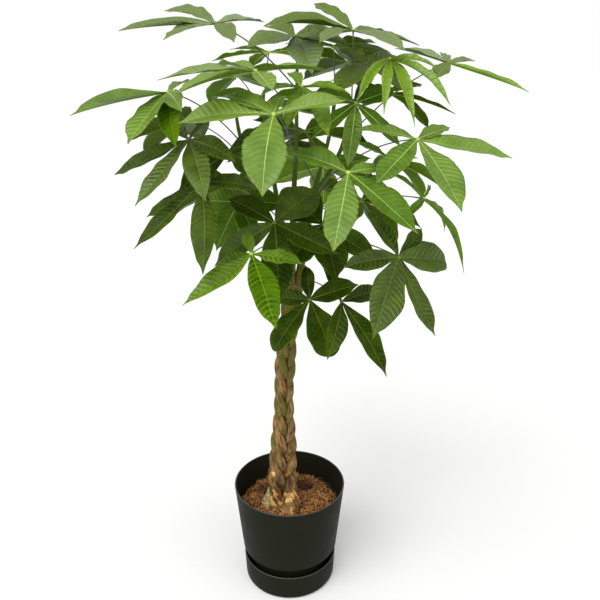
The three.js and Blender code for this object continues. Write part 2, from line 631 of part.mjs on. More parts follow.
function backLeaves() {
  const random = seeded(SEED);
  return Array.from({ length: BACK_LEAVES }, (_, i) => {
    const facing = THREE.MathUtils.lerp(25, 155, (i * GOLDEN_TURN + 0.2) % 1);
    const level = (i + 0.5) / BACK_LEAVES;
    const between = ([low, high]) => THREE.MathUtils.lerp(low, high, level);
    const stem = (facing < 60 ? [0, 4] : facing > 120 ? [2, 1] : [4, 1])[i % 2];
    const at = Math.min(between(BACK_LEAF_AT), shootEnd(stem) - 15);
    const reach = between(BACK_LEAF_REACH) * (0.85 + 0.3 * random());
    const [x, y] = stemMiddle(stem, at);
    const turn = radians(facing);
    const fanShift = 16 * (random() - 0.5);
    return {
      stem,
      at,
      hub: [x + reach * Math.cos(turn), y + reach * Math.sin(turn), at + between(BACK_LEAF_RISE)],
      facing,
      tilt: between(BACK_LEAF_TILT) + 8 * random(),
      tone: random() < 0.25 ? 'bright' : 'dark',
      leaflets: BACK_FAN.map((place) => {
        const degrees = BACK_FAN_STEP * place + fanShift;
        const outward = Math.cos(radians(degrees) / 2) ** 2;
        const length = THREE.MathUtils.lerp(SHORT_LEAFLET, LONG_LEAFLET, outward);
        return [degrees, length * (0.92 + 0.16 * random()), 0];
      }),
    };
  });
}

// ---------------------------------------------------------------- the part

function finish(color, roughness) {
  return new THREE.MeshStandardMaterial({ color, roughness, metalness: 0 });
}

const PLASTIC = finish('#26282a', 0.55);
const SOIL = finish('#5b3a27', 1);
const BARK = finish('#76643f', 0.85);
const LEAF = {
  dark: finish('#2c5a22', 0.45),
  bright: finish('#4c8a35', 0.45),
  young: finish('#7fb53c', 0.5),
};

const group = new THREE.Group();

function addNode(name, geometry, material) {
  const mesh = new THREE.Mesh(geometry, material);
  mesh.name = name;
  group.add(mesh);
}

const stemNumbers = Array.from({ length: STEM_COUNT }, (_, stem) => stem);
const stemBodies = stemNumbers.map((stem) => withBounds(stemBody(stem, 0)));
const sleeves = stemNumbers.map((stem) => solidOf(geometryOf(stemBody(stem, HOLE_GAP))));
const footHoles = stemNumbers.map((stem) => solidOf(geometryOf(makeFootHole(stem))));

addNode('saucer', makeSaucer(), PLASTIC);
addNode('pot', makePot(), PLASTIC);
addNode('soil', geometryFrom(makeSoil(footHoles)), SOIL);
stemBodies.forEach((body, stem) => addNode(`stem_${stem + 1}`, geometryOf(body), BARK));

growLeaves([...LEAVES, ...backLeaves()], stemBodies).forEach(({ leaf, parts }, i) => {
  const whole = parts.map((body) => solidOf(geometryOf(body))).reduce((sum, body) => sum.add(body));
  const seated = whole.subtract(sleeves[leaf.stem]);
  const [largest] = seated.decompose().sort((a, b) => b.volume() - a.volume());
  addNode(`leaf_${String(i + 1).padStart(2, '0')}`, geometryFrom(largest), LEAF[leaf.tone]);
});

export default group;
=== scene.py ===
# %% [markdown]
# # A potted money tree
# Five young stems were plaited into one trunk and rooted in a plain nursery pot, which stands
# in a deep saucer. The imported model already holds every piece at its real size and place.
# This lesson dresses it: each plain solid is replaced by a finer mesh with the same form.

# %% Load the frame
import math

import bpy
import numpy as np
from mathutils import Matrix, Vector, noise


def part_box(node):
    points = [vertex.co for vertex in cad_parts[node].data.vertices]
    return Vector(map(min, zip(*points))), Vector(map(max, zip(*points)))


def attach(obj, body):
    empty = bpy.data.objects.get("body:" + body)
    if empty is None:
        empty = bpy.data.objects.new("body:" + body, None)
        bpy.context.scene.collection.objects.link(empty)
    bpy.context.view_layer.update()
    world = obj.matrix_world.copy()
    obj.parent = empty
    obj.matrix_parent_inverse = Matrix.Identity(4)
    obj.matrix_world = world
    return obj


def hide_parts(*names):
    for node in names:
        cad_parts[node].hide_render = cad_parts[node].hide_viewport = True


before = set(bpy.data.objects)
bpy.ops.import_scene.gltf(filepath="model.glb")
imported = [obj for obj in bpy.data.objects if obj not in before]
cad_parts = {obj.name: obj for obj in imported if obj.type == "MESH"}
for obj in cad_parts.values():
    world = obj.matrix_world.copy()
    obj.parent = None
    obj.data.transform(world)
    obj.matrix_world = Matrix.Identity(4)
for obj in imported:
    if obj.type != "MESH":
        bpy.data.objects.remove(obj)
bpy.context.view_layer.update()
MM = 0.001

# %% [markdown]
# ## Small helpers
# Colours are written as a paint chart gives them, in sRGB hex, and one function turns them to
# the linear values that shaders and lights work in. One more adds a node with its settings
# and its links, for materials and for geometry alike. The kinds of node that come back often
# have short names, and so have the settings that go with them.

# %% Helpers for colours and nodes
MATH, MIX, STEP = "ShaderNodeMath", "ShaderNodeMix", "ShaderNodeMapRange"
NOISE, BUMP, MAP = "ShaderNodeTexNoise", "ShaderNodeBump", "ShaderNodeAttribute"
SPLIT, COORDINATES = "ShaderNodeSeparateXYZ", "ShaderNodeTexCoord"
SMOOTH = dict(interpolation_type="SMOOTHSTEP")   # for STEP: from one value to another, no corners
TIMES, TIMES_PLUS = dict(operation="MULTIPLY"), dict(operation="MULTIPLY_ADD")   # for MATH
COLOUR = dict(data_type="RGBA")                  # for MIX, whose inputs are then 0, 6 and 7


def linear(hex_colour):
    """The linear red, green, blue and alpha of an sRGB colour such as #6f8f4a."""
    channels = [int(hex_colour[i:i + 2], 16) / 255 for i in (1, 3, 5)]
    lit = [c / 12.92 if c <= 0.04045 else ((c + 0.055) / 1.055) ** 2.4 for c in channels]
    return (*lit, 1.0)


def wire(tree, node, inputs):
    """Gives a node its inputs, by name, by number or in their order. Each is a value, a socket,
    or another node, whose first output in use is linked."""
    for key, value in inputs.items() if isinstance(inputs, dict) else enumerate(inputs):
        if isinstance(value, bpy.types.Node):
            value = next(socket for socket in value.outputs if socket.enabled)
        if isinstance(value, bpy.types.NodeSocket):
            tree.links.new(value, node.inputs[key])
        else:
            node.inputs[key].default_value = value


def add(tree, kind, inputs=(), **settings):
    """Adds a node with its settings and its inputs."""
    node = tree.nodes.new(kind)
    for name, value in settings.items():
        setattr(node, name, value)
    wire(tree, node, inputs)
    return node


def start_material(name, roughness, ior=1.45):
    """A new material with its node tree and its surface shader."""
    material = bpy.data.materials.new(name)
    material.use_nodes = True
    shader = material.node_tree.nodes["Principled BSDF"]
    wire(material.node_tree, shader, {"Roughness": roughness, "IOR": ior})
    return material, material.node_tree, shader


print("a middle grey, #808080, is", round(linear("#808080")[0], 3), "in linear light")

# %% [markdown]
# ## Meshes from rings
# Almost everything here is a closed skin over a row of rings: a pot is rings round its axis, a
# stem is rings along its way up, and a leaflet is flat rings that run across its upper side and
# back along its underside. So one function joins rings to a closed mesh. Blender could also
# bridge edge loops in edit mode, but arrays are quicker and give the same result each time.

# %% Closed skins over rings


def skin(rings, tip=None):
    """Points and faces of the closed skin over rings, a (rings, sides, 3) array, which ends in a
    tip point or in a flat cap. Whichever way the rings run, its faces are turned outward."""
    count, sides = rings.shape[:2]
    points = rings.reshape(-1, 3)
    k = np.arange(sides)
    after = (k + 1) % sides
    starts = np.arange(count - 1)[:, None] * sides
    ends = starts + sides
    quads = np.stack([starts + k, starts + after, ends + after, ends + k], axis=2).reshape(-1, 4)
    faces = quads.tolist()
    faces.append(k[::-1].tolist())
    last = (count - 1) * sides
    if tip is None:
        faces.append((last + k).tolist())
    else:
        points = np.vstack([points, tip])
        faces.extend([last + int(a), last + int(b), len(points) - 1] for a, b in zip(k, after))
    if volume_inside(points, quads) < 0:
        faces = [face[::-1] for face in faces]
    return points, faces


def volume_inside(points, quads):
    """Volume within quads, seen from their middle: below zero if they face inward."""
    a, b, c, d = np.moveaxis(points[quads] - points.mean(axis=0), 1, 0)
    return (np.sum(a * np.cross(b, c)) + np.sum(a * np.cross(c, d))) / 6


def lathe(outline, sides):
    """Rings round the Z axis for a closed outline of radius and height, in millimetres."""
    turn = np.linspace(0, 2 * np.pi, sides, endpoint=False)
    radius, height = np.array(outline).T
    return np.stack([radius[:, None] * np.cos(turn), radius[:, None] * np.sin(turn),
                     np.repeat(height[:, None], sides, axis=1)], axis=2)


tin = lathe([(30, 0), (30, 80)], 12)
print("as a test, a tin skinned over two rings has", len(skin(tin)[1]), "faces")

# %% [markdown]
# ## Pieces
# A piece is a mesh with its maps and materials. Maps are named numbers at each point, which a
# material reads to know where on the piece it is. A finished piece is then dressed: it is
# told which body it rides on and which imported solids it stands for.

# %% Build and dress a piece


def build(name, points, faces, maps=None, looks=None, parts=None):
    """An object from points in millimetres. maps are named values or vectors for each point,
    looks its materials, and parts the number of the material of each face."""
    mesh = bpy.data.meshes.new(name)
    mesh.from_pydata((np.asarray(points) * MM).tolist(), [], faces)
    mesh.shade_smooth()
    for key, values in (maps or {}).items():
        values = np.asarray(values, np.float32)
        kind, field = ("FLOAT_VECTOR", "vector") if values.ndim == 2 else ("FLOAT", "value")
        mesh.attributes.new(key, kind, "POINT").data.foreach_set(field, values.ravel())
    for look in looks or []:
        mesh.materials.append(look)
    if parts is not None:
        mesh.polygons.foreach_set("material_index", parts)
    piece = bpy.data.objects.new(name, mesh)
    bpy.context.scene.collection.objects.link(piece)
    return piece


def dress(piece, slot, *nodes):
    """The finished piece rides on the root body and stands for its nodes."""
    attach(piece, "root")
    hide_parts(*nodes)
    piece.data.calc_loop_triangles()
    boxes = np.array([[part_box(node)[0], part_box(node)[1]] for node in nodes])
    corners = np.array([v for v in piece.bound_box])
    past = max((boxes[:, 0].min(0) - corners.min(0)).max(), (corners.max(0) - boxes[:, 1].max(0)).max(), 0)
    print(f"{piece.name}: {len(piece.data.loop_triangles)} triangles, {past / MM:.1f} mm past its solid")


print("each piece will ride on the root body and stand for its own nodes")

# %% [markdown]
# ## Camera
# The camera comes first, so that every later look at the scene is from the photograph's own
# place: a little over one metre up, looking down by twenty degrees. It was fitted to the round
# rims and feet of pot and saucer, which tell both the height and the lens.

# %% Camera
CAMERA_PLACE = (0.023, -1.214, 1.100)
CAMERA_PITCH = 20                # degrees that it looks down
SENSOR = 36                      # millimetres, across the picture
FOCAL_SHARE = 653 / 600          # focal length over the picture's width

camera = bpy.data.objects.new("camera", bpy.data.cameras.new("camera"))
camera.data.sensor_width = SENSOR
camera.data.lens = SENSOR * FOCAL_SHARE
camera.location = CAMERA_PLACE
camera.rotation_euler = (math.radians(90 - CAMERA_PITCH), 0, 0)
bpy.context.scene.collection.objects.link(camera)
bpy.context.scene.camera = camera
bpy.context.scene.view_settings.view_transform = "Standard"
print(f"camera with a {camera.data.lens:.1f} mm lens")

# %% [markdown]
# ## Floor and light
# The plant stands on white matt floor paint in a pale room, white low down and softer
# overhead, with two broad suns: a key from the upper left and a weak fill from the right.
# Suns light the floor evenly to the horizon, which area lamps don't.

# %% Floor and light
FLOOR_REACH = 60
SUN_SPREAD = 50                  # degrees across
KEY_SUN = dict(azimuth=-35, elevation=50, strength=2.1)
FILL_SUN = dict(azimuth=50, elevation=35, strength=0.6)
OVERHEAD_LIGHT = 0.55
BAND_TOP, BAND_FADE = 0.1, 0.35  # sines of the angles where the white band starts and stops fading


def make_floor():
    """A wide matt floor at the saucer's underside."""
    corners = [(-FLOOR_REACH, -FLOOR_REACH), (FLOOR_REACH, -FLOOR_REACH),
               (FLOOR_REACH, FLOOR_REACH), (-FLOOR_REACH, FLOOR_REACH)]
    points = [(x / MM, y / MM, 0) for x, y in corners]
    floor = build("floor", points, [[0, 1, 2, 3]])
    paint, _, shader = start_material("matt_floor_paint", 0.9)
    shader.inputs["Base Color"].default_value = linear("#f7f7f5")
    floor.data.materials.append(paint)


def make_sun(name, azimuth, elevation, strength):
    """A broad soft sun. Azimuth 0 is straight behind the camera and 90 at its right."""
    sun = bpy.data.objects.new(name, bpy.data.lights.new(name, "SUN"))
    sun.data.energy = strength
    sun.data.angle = math.radians(SUN_SPREAD)
    sun.rotation_euler = (math.radians(90 - elevation), 0, math.radians(azimuth))
    bpy.context.scene.collection.objects.link(sun)


def make_room():
    """Pale light from all sides: white near the horizon and weaker overhead."""
    world = bpy.data.worlds.new("pale_room")
    world.use_nodes = True
    tree = world.node_tree
    way = add(tree, SPLIT, (add(tree, COORDINATES).outputs["Generated"],)).outputs[2]
    strength = add(tree, STEP, (way, BAND_TOP, BAND_FADE, 1.0, OVERHEAD_LIGHT), **SMOOTH)
    wire(tree, tree.nodes["Background"], {"Color": linear("#ffffff"), "Strength": strength})
    bpy.context.scene.world = world


make_floor()
make_room()
make_sun("key_sun", **KEY_SUN)
make_sun("fill_sun", **FILL_SUN)
print("floor, room light and two suns")

# %% [markdown]
# ## The leaves' plan
# A money tree's leaf is a hand: a long stalk, a small green knob and five or so leaflets. The
# plan below is the same as the solids' plan: where each hub is, which way the leaf faces, and
# for each leaflet its direction in the leaf's plane, its length and how far it is raised out
# of that plane. It was read from the photograph, leaf by leaf, as real sizes.

# %% The leaves that the photograph shows
LEAVES = [
    dict(stem=3, at=1055, hub=(-115, -60, 1160), facing=-100, tilt=12, tone="dark",
         leaflets=[(-61, 155, 2), (-117, 120, 7), (-31, 110, -3), (140, 100, -5), (33, 95, -8)]),
    dict(stem=3, at=985, hub=(-43, -180, 1088), facing=-110, tilt=12, tone="bright",
         leaflets=[(-71, 150, 0), (-28, 142, 0), (96, 113, 0), (-120, 100, 0), (38, 90, -6)]),
    dict(stem=2, at=960, hub=(-190, -110, 1055), facing=-160, tilt=22, tone="bright",
         leaflets=[(18, 165, 12), (46, 145, -12), (70, 125, -32), (87, 95, -14), (-125, 90, -2)]),
    dict(stem=3, at=930, hub=(-15, -240, 1030), facing=-100, tilt=40, tone="bright", wide=0.42,
         leaflets=[(1, 135, -8), (-84, 145, -1), (-122, 105, -7), (113, 110, -5), (179, 60, -16)]),
    dict(stem=2, at=880, hub=(-155, -150, 985), facing=-120, tilt=48, tone="dark",
         leaflets=[(-63, 150, -5), (-10, 140, 8), (38, 130, -2), (72, 120, 4), (165, 105, -16),
                   (-126, 80, -9)]),
    dict(stem=2, at=830, hub=(-135, -170, 920), facing=-120, tilt=55, tone="dark",
         leaflets=[(-22, 150, 14), (24, 160, 2), (-60, 125, -10), (95, 100, -10), (-154, 60, 5)]),
    dict(stem=3, at=800, hub=(-20, -130, 845), facing=-90, tilt=55, tone="dark",
         leaflets=[(3, 150, 7), (57, 130, 18), (-55, 125, -6), (-125, 105, -14), (135, 110, -14)]),
    dict(stem=3, at=760, hub=(-55, -200, 810), facing=-110, tilt=30, tone="young", wide=0.42,
         leaflets=[(-26, 145, 6), (33, 155, -5), (84, 92, 1), (-152, 60, 0), (-83, 80, -30)]),
    dict(stem=0, at=700, hub=(95, -150, 710), facing=-60, tilt=60, tone="dark",
         leaflets=[(8, 150, 18), (96, 95, -6), (-35, 110, 6), (-175, 80, -8)]),
    dict(stem=3, at=690, hub=(40, -140, 710), facing=-110, tilt=60, tone="dark", wide=0.46,
         leaflets=[(-21, 110, 16), (30, 105, -14), (-90, 75, -12), (112, 95, 10), (-160, 70, -10)]),
    dict(stem=0, at=780, hub=(190, -150, 790), facing=-60, tilt=60, tone="dark", wide=0.42,
         leaflets=[(-38, 155, 1), (-91, 112, -1), (18, 150, -7), (78, 112, 4), (122, 90, -7),
                   (-170, 105, -16)]),
    dict(stem=0, at=895, hub=(210, -150, 985), facing=-60, tilt=32, tone="bright", wide=0.4,
         leaflets=[(67, 168, 2), (-5, 155, -3), (-60, 128, -11), (-138, 105, -16), (105, 85, 3)]),
    dict(stem=0, at=860, hub=(95, -230, 945), facing=-80, tilt=48, tone="bright", wide=0.42,
         leaflets=[(-18, 140, 4), (32, 150, 13), (-127, 105, -16), (110, 62, -18), (70, 95, -24)]),
    dict(stem=0, at=1010, hub=(110, -60, 1150), facing=-80, tilt=12, tone="bright",
         leaflets=[(-149, 105, 18), (-87, 150, 5), (129, 95, -6), (24, 130, -1), (-42, 110, 0),
                   (70, 110, -6)]),
    dict(stem=0, at=965, hub=(270, -60, 1100), facing=-60, tilt=14, tone="dark", wide=0.3,
         leaflets=[(17, 150, -2), (-157, 105, 1), (151, 60, 4), (100, 72, 1), (-53, 90, -7)]),
    dict(stem=0, at=1035, hub=(165, -110, 1105), facing=-80, tilt=40, tone="young", wide=0.24,
         leaflets=[(-40, 105, 2), (-16, 110, 0), (8, 125, -4), (36, 125, 6), (72, 80, 6)]),
    dict(stem=0, at=830, hub=(235, -100, 880), facing=-30, tilt=50, tone="young", wide=0.24,
         leaflets=[(-24, 145, 7), (-165, 90, -14), (56, 110, -16), (-84, 95, -10), (110, 70, 0)]),
    dict(stem=3, at=1030, hub=(25, -150, 1065), facing=-100, tilt=20, tone="young",
         leaflets=[(-38, 85, 11), (31, 110, -18), (90, 80, -6), (-156, 70, 1), (-8, 85, -20)]),
    dict(stem=0, at=985, hub=(118, -55, 1035), facing=-90, tilt=58, tone="bright",
         leaflets=[(-8, 125, 8), (42, 110, 4), (-48, 105, 6), (110, 80, -10), (-110, 80, -8)]),
    dict(stem=2, at=905, hub=(-103, -50, 952), facing=-100, tilt=50, tone="dark",
         leaflets=[(65, 105, 0), (-45, 110, 0), (120, 85, 0), (-100, 80, 0)]),
    dict(stem=3, at=1078, hub=(15, -20, 1142), facing=-90, tilt=25, tone="dark", wide=0.44,
         leaflets=[(-46, 112, 8), (14, 115, -6), (120, 90, -6), (-140, 85, -6), (66, 100, 0)]),
    dict(stem=0, at=1050, hub=(135, -25, 1098), facing=-90, tilt=30, tone="dark",
         leaflets=[(-28, 110, 4), (30, 95, 6), (-150, 80, -8), (120, 80, -8)]),
    dict(stem=2, at=800, hub=(-85, -60, 865), facing=-110, tilt=55, tone="bright", wide=0.44,
         leaflets=[(38, 78, 5), (-20, 95, -10), (-95, 80, -12), (95, 80, -6)]),
    dict(stem=1, at=1020, hub=(-35, 85, 1118), facing=110, tilt=12, tone="bright",
         leaflets=[(0, 135, 0), (55, 115, 0), (-55, 120, 0), (108, 85, 0), (-108, 85, 0)]),
    dict(stem=4, at=1030, hub=(85, 70, 1128), facing=70, tilt=12, tone="dark",
         leaflets=[(0, 135, 0), (55, 115, 0), (-55, 120, 0), (108, 90, 0), (-108, 90, 0)]),
    dict(stem=0, at=770, hub=(62, -90, 832), facing=-80, tilt=60, tone="dark",
         leaflets=[(50, 112, 14), (5, 110, 16), (-44, 105, 14), (130, 80, -12), (-140, 90, -16)]),
]
print(len(LEAVES), "leaves from the photograph")

# %% [markdown]
# ## The way of each stem
# Plaited stems run through a figure of eight, one behind the other. Above the plait each goes
# its own way. The heights, places and half widths below are the solids' own, and a smooth
# curve through the rows gives any height between them.

# %% Where the stems run
# Rows in millimetres. Trunk: height, place across, half width. Feet: across and away at the
# soil. Shoots: height, across, away, radius.
TRUNK = np.array([(185, -19, 34), (230, -17, 30), (270, -15, 28), (340, -12, 25), (400, -11, 20),
                  (470, -10, 18.5), (520, -7, 20), (580, -3, 18.5), (660, 7, 19), (760, 10, 17)], float)
FEET = np.array([(2, -30), (-50, -15), (-28, -22), (-17, 16), (14, 10)], float)
SHOOTS = np.array([
    [(660, 16, -6, 8.5), (740, 26, -8, 7.5), (840, 42, -10, 5.8), (960, 100, -14, 3.8),
     (1060, 126, -8, 2.6)],
    [(660, 4, 10, 8), (740, -2, 20, 6.5), (860, -24, 56, 4.8), (960, -42, 86, 3.6), (1040, -48, 104, 2.6)],
    [(660, -4, 2, 8), (740, -14, 4, 6.5), (860, -52, 6, 4.8), (960, -84, 12, 3.6), (1040, -98, 20, 2.6)],
    [(660, 4, -8, 8.5), (740, 8, -16, 7.2), (860, 11, -22, 5.2), (960, 16, -24, 3.8), (1090, 18, -26, 2.6)],
    [(660, 16, 8, 8), (740, 26, 16, 6.5), (860, 50, 50, 4.8), (960, 78, 76, 3.6), (1050, 92, 92, 2.6)],
], float)
STEM_COUNT = 5
BRAID_PERIOD = 222               # millimetres in which a stem comes back to its place
BRAID_TURN = math.radians(28)    # how the flat plait is turned round the upright
BRAID_PHASE = 0.15
BRAID_LOW, BRAID_HIGH, BRAID_LOOSE = 245, 650, 725
HALF_SPAN, HALF_DEPTH = 0.66, 0.5        # of the figure of eight, as shares of the half width
STEM_SHARE = 0.37                # radius of one stem as a share of the plait's half width
FOOT_RADIUS, FOOT_TOP = 10.5, 205
SOIL_EDGE_HEIGHT = 178
ROOT_END = SOIL_EDGE_HEIGHT - 45
print("plaited from", BRAID_LOW, "to", BRAID_HIGH, "mm, one turn in", BRAID_PERIOD)

# %% [markdown]
# ### From rows to curves
# A stem has three stretches, a straight foot, the plait and a free shoot, and passes smoothly
# from one to the next. A curve object could hold this, but as functions of the height the
# stems can be asked for their place anywhere, which leaves and seams both need.

# %% Middle and radius of a stem
FOOT_LEAN = 0.8                  # share of the way to the plait that a foot's line covers


def smooth(t):
    """A step from 0 to 1 without corners."""
    t = np.clip(t, 0, 1)
    return t * t * (3 - 2 * t)


def along(rows, height, column):
    """A value at a height, smoothly between the rows of a table that starts with heights."""
    z = np.clip(height, rows[0, 0], rows[-1, 0])
    last = len(rows) - 1
    i = np.clip(np.searchsorted(rows[:, 0], z, side="left") - 1, 0, last - 1)
    below, above = np.maximum(np.arange(last + 1) - 1, 0), np.minimum(np.arange(last + 1) + 1, last)
    slope = (rows[above, column] - rows[below, column]) / (rows[above, 0] - rows[below, 0])
    span = rows[i + 1, 0] - rows[i, 0]
    t = (z - rows[i, 0]) / span
    start, end = rows[i, column], rows[i + 1, column]
    bend = start * (2 * t ** 3 - 3 * t ** 2 + 1) + end * (3 * t ** 2 - 2 * t ** 3)
    return bend + span * (slope[i] * (t ** 3 - 2 * t ** 2 + t) + slope[i + 1] * (t ** 3 - t ** 2))


def braid_middle(stem, z):
    """The middle of a stem in the plait."""
    half = along(TRUNK, z, 2)
    phase = 2 * np.pi * (stem / STEM_COUNT + BRAID_PHASE - z / BRAID_PERIOD)
    across = HALF_SPAN * half * np.cos(phase)
    ahead = -HALF_DEPTH * half * np.sin(2 * phase)
    return np.stack([along(TRUNK, z, 1) + across * np.cos(BRAID_TURN) - ahead * np.sin(BRAID_TURN),
                     across * np.sin(BRAID_TURN) + ahead * np.cos(BRAID_TURN)], axis=-1)


def foot_middle(stem, z):
    """The straight line of a stem's foot, through its place at the soil."""
    goal = braid_middle(stem, np.array(float(BRAID_LOW)))
    rise = (z - SOIL_EDGE_HEIGHT) / (BRAID_LOW - SOIL_EDGE_HEIGHT)
    return FEET[stem] + (goal - FEET[stem]) * rise[..., None] * FOOT_LEAN


def stem_middle(stem, z):
    """The middle of a stem at each height."""
    z = np.asarray(z, float)
    plaited = braid_middle(stem, z)
    free = np.stack([along(SHOOTS[stem], z, 1), along(SHOOTS[stem], z, 2)], axis=-1)
    low = smooth((z - FOOT_TOP) / (BRAID_LOW - FOOT_TOP))[..., None]
    high = smooth((z - BRAID_HIGH) / (BRAID_LOOSE - BRAID_HIGH))[..., None]
    return (foot_middle(stem, z) * (1 - low) + plaited * low) * (1 - high) + free * high


def stem_radius(stem, z):
    """The radius of a stem at each height."""
    plaited = STEM_SHARE * along(TRUNK, z, 2)
    low = smooth((z - FOOT_TOP) / (BRAID_LOW - FOOT_TOP))
    high = smooth((z - BRAID_HIGH) / (BRAID_LOOSE - BRAID_HIGH))
    return (FOOT_RADIUS * (1 - low) + plaited * low) * (1 - high) + along(SHOOTS[stem], z, 3) * high


def shoot_end(stem):
    """The height where a stem's wood ends and its bud starts."""
    return SHOOTS[stem][-1, 0]


print("stems end at", [shoot_end(stem) for stem in range(STEM_COUNT)])

# %% [markdown]
# ## The leaves at the back
# The photograph doesn't show the back, so a rule fills it. The leaves are set round it by the
# golden turn, from low and far out to high and close in, with small seeded differences.

# %% Leaves by the rule
BACK_LEAVES = 11
BACK_LEAF_AT, BACK_LEAF_REACH = (770, 1030), (215, 105)
BACK_LEAF_RISE, BACK_LEAF_TILT = (45, 85), (50, 14)
BACK_FAN_STEP = 57
SHORT_LEAFLET, LONG_LEAFLET = 92, 152
GOLDEN_TURN = 0.618


def seeded(seed):
    """Numbers from 0 to 1 that are the same in every run."""
    state = seed
    while True:
        state = (state * 1664525 + 1013904223) % 4294967296
        yield state / 4294967296


def back_leaves():
    """The leaves of the back, lowest first."""
    draw = seeded(8)
    leaves = []
    for i in range(BACK_LEAVES):
        facing = 25 + (155 - 25) * ((i * GOLDEN_TURN + 0.2) % 1)
        level = (i + 0.5) / BACK_LEAVES
        at, reach, rise, tilt = (low + (high - low) * level for low, high in (
            BACK_LEAF_AT, BACK_LEAF_REACH, BACK_LEAF_RISE, BACK_LEAF_TILT))
        stem = ((0, 4) if facing < 60 else (2, 1) if facing > 120 else (4, 1))[i % 2]
        at = min(at, shoot_end(stem) - 15)
        reach *= 0.85 + 0.3 * next(draw)
        x, y = stem_middle(stem, at)
        turn = math.radians(facing)
        fan_shift = 16 * (next(draw) - 0.5)
        hub = (x + reach * math.cos(turn), y + reach * math.sin(turn), at + rise)
        tilt += 8 * next(draw)
        tone = "bright" if next(draw) < 0.25 else "dark"
        leaflets = []
        for place in range(-2, 3):
            degrees = BACK_FAN_STEP * place + fan_shift
            outward = math.cos(math.radians(degrees) / 2) ** 2
            length = SHORT_LEAFLET + (LONG_LEAFLET - SHORT_LEAFLET) * outward
            leaflets.append((degrees, length * (0.92 + 0.16 * next(draw)), 0))
        leaves.append(dict(stem=stem, at=at, hub=hub, facing=facing, tilt=tilt, tone=tone,
                           leaflets=leaflets))
    return leaves


ALL_LEAVES = LEAVES + back_leaves()
print(len(ALL_LEAVES), "leaves in all")

# %% [markdown]
# ## How each leaflet really lies
# Where a leaflet or a stalk would have crossed a neighbour, the solids hold it bent a little.
# The way it was bent isn't guessed again here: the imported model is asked. Each possible bend
# puts the leaflet's tip at its own point, and the right one is the one whose tip is a corner
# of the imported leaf.

# %% Directions and curves of a leaf
STALK_RISE = 0.16                # twice the height of a stalk's arch, as a share of its span


def unit(vector):
    """The vector at length one."""
    return vector / np.linalg.norm(vector)


def leaf_frame(leaf):
    """Directions of a leaf: out of its upper side, downhill in it, and across."""
    turn, tilt = math.radians(leaf["facing"]), math.radians(leaf["tilt"])
    out = np.array([math.cos(turn), math.sin(turn), 0])
    up = math.sin(tilt) * out + np.array([0, 0, math.cos(tilt)])
    down = math.cos(tilt) * out - np.array([0, 0, math.sin(tilt)])
    return up, down, np.array([-math.sin(turn), math.cos(turn), 0])


def leaflet_frame(leaf, degrees, lift):
    """Directions of a leaflet: ahead to its tip, out of its upper side, and left."""
    up, down, across = leaf_frame(leaf)
    angle, rise = math.radians(degrees), math.radians(lift)
    level = math.cos(angle) * down + math.sin(angle) * across
    ahead = math.cos(rise) * level + math.sin(rise) * up
    top = math.cos(rise) * up - math.sin(rise) * level
    return ahead, top, np.cross(top, ahead)


def stalk_curve(leaf, bend):
    """The three points of a stalk's curve, from the middle of its stem to its hub."""
    start = np.array([*stem_middle(leaf["stem"], leaf["at"]), leaf["at"]])
    end = np.array(leaf["hub"], float)
    span = end - start
    sideways = unit(np.array([-span[1], span[0], 0]))
    middle = start + 0.5 * span + bend[0] * sideways
    middle[2] += STALK_RISE * np.linalg.norm(span) + bend[1]
    return start, middle, end


def on_curve(curve, s):
    """Points on the curve and their directions, for an array of shares."""
    start, middle, end = curve
    s = np.asarray(s, float)[..., None]
    place = (1 - s) ** 2 * start + 2 * s * (1 - s) * middle + s ** 2 * end
    ahead = 2 * (1 - s) * (middle - start) + 2 * s * (end - middle)
    return place, ahead / np.linalg.norm(ahead, axis=-1, keepdims=True)


print("the first leaf faces", leaf_frame(LEAVES[0])[0].round(2).tolist())

# %% [markdown]
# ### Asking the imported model
# The lists hold the bends that the solids could have been given: degrees aside and up for a
# leaflet, millimetres aside and up for a stalk, from no bend to the largest.

# %% Bends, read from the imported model
LEAFLET_BENDS = [
    (0, 0), (0, 7), (0, -7), (7, 0), (-7, 0), (7, 7), (-7, 7), (7, -7), (-7, -7), (0, 14), (0, -14),
    (14, 0), (-14, 0), (10, 14), (-10, 14), (10, -14), (-10, -14), (0, 22), (0, -22), (12, 24), (-12, 24),
    (12, -24), (-12, -24), (0, 32), (0, -34),
]
LEAFLET_SIZES = (1, 0.86, 0.72)
STALK_BENDS = [
    (0, 0), (12, 0), (-12, 0), (0, 14), (0, -14), (24, 0), (-24, 0), (20, 16), (-20, 16), (20, -16),
    (-20, -16), (38, 0), (-38, 0), (0, 30), (0, -30), (36, 26), (-36, 26), (50, 0), (-50, 0),
]
SOLID_STALK_RADIUS = 1.6
SOLID_STALK_STATION = 0.3
FOUND_WITHIN = 0.05


def corners_of(node):
    """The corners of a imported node, in millimetres."""
    return np.array([v.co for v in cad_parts[node].data.vertices]) / MM


def first_found(choices, mark, corners):
    """The first choice whose mark is one of the corners."""
    for choice in choices:
        if np.linalg.norm(corners - mark(choice), axis=1).min() < FOUND_WITHIN:
            return choice
    return None


def leaflets_as_packed(leaf, corners):
    """The direction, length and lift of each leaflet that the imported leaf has."""
    found = []
    for degrees, length, lift in leaf["leaflets"]:
        shapes = [(degrees + swing, length * size, lift + rise)
                  for size in LEAFLET_SIZES for swing, rise in LEAFLET_BENDS]
        hub = np.array(leaf["hub"])
        shape = first_found(shapes, lambda c: hub + c[1] * leaflet_frame(leaf, c[0], c[2])[0], corners)
        if shape:
            found.append(shape)
    return found


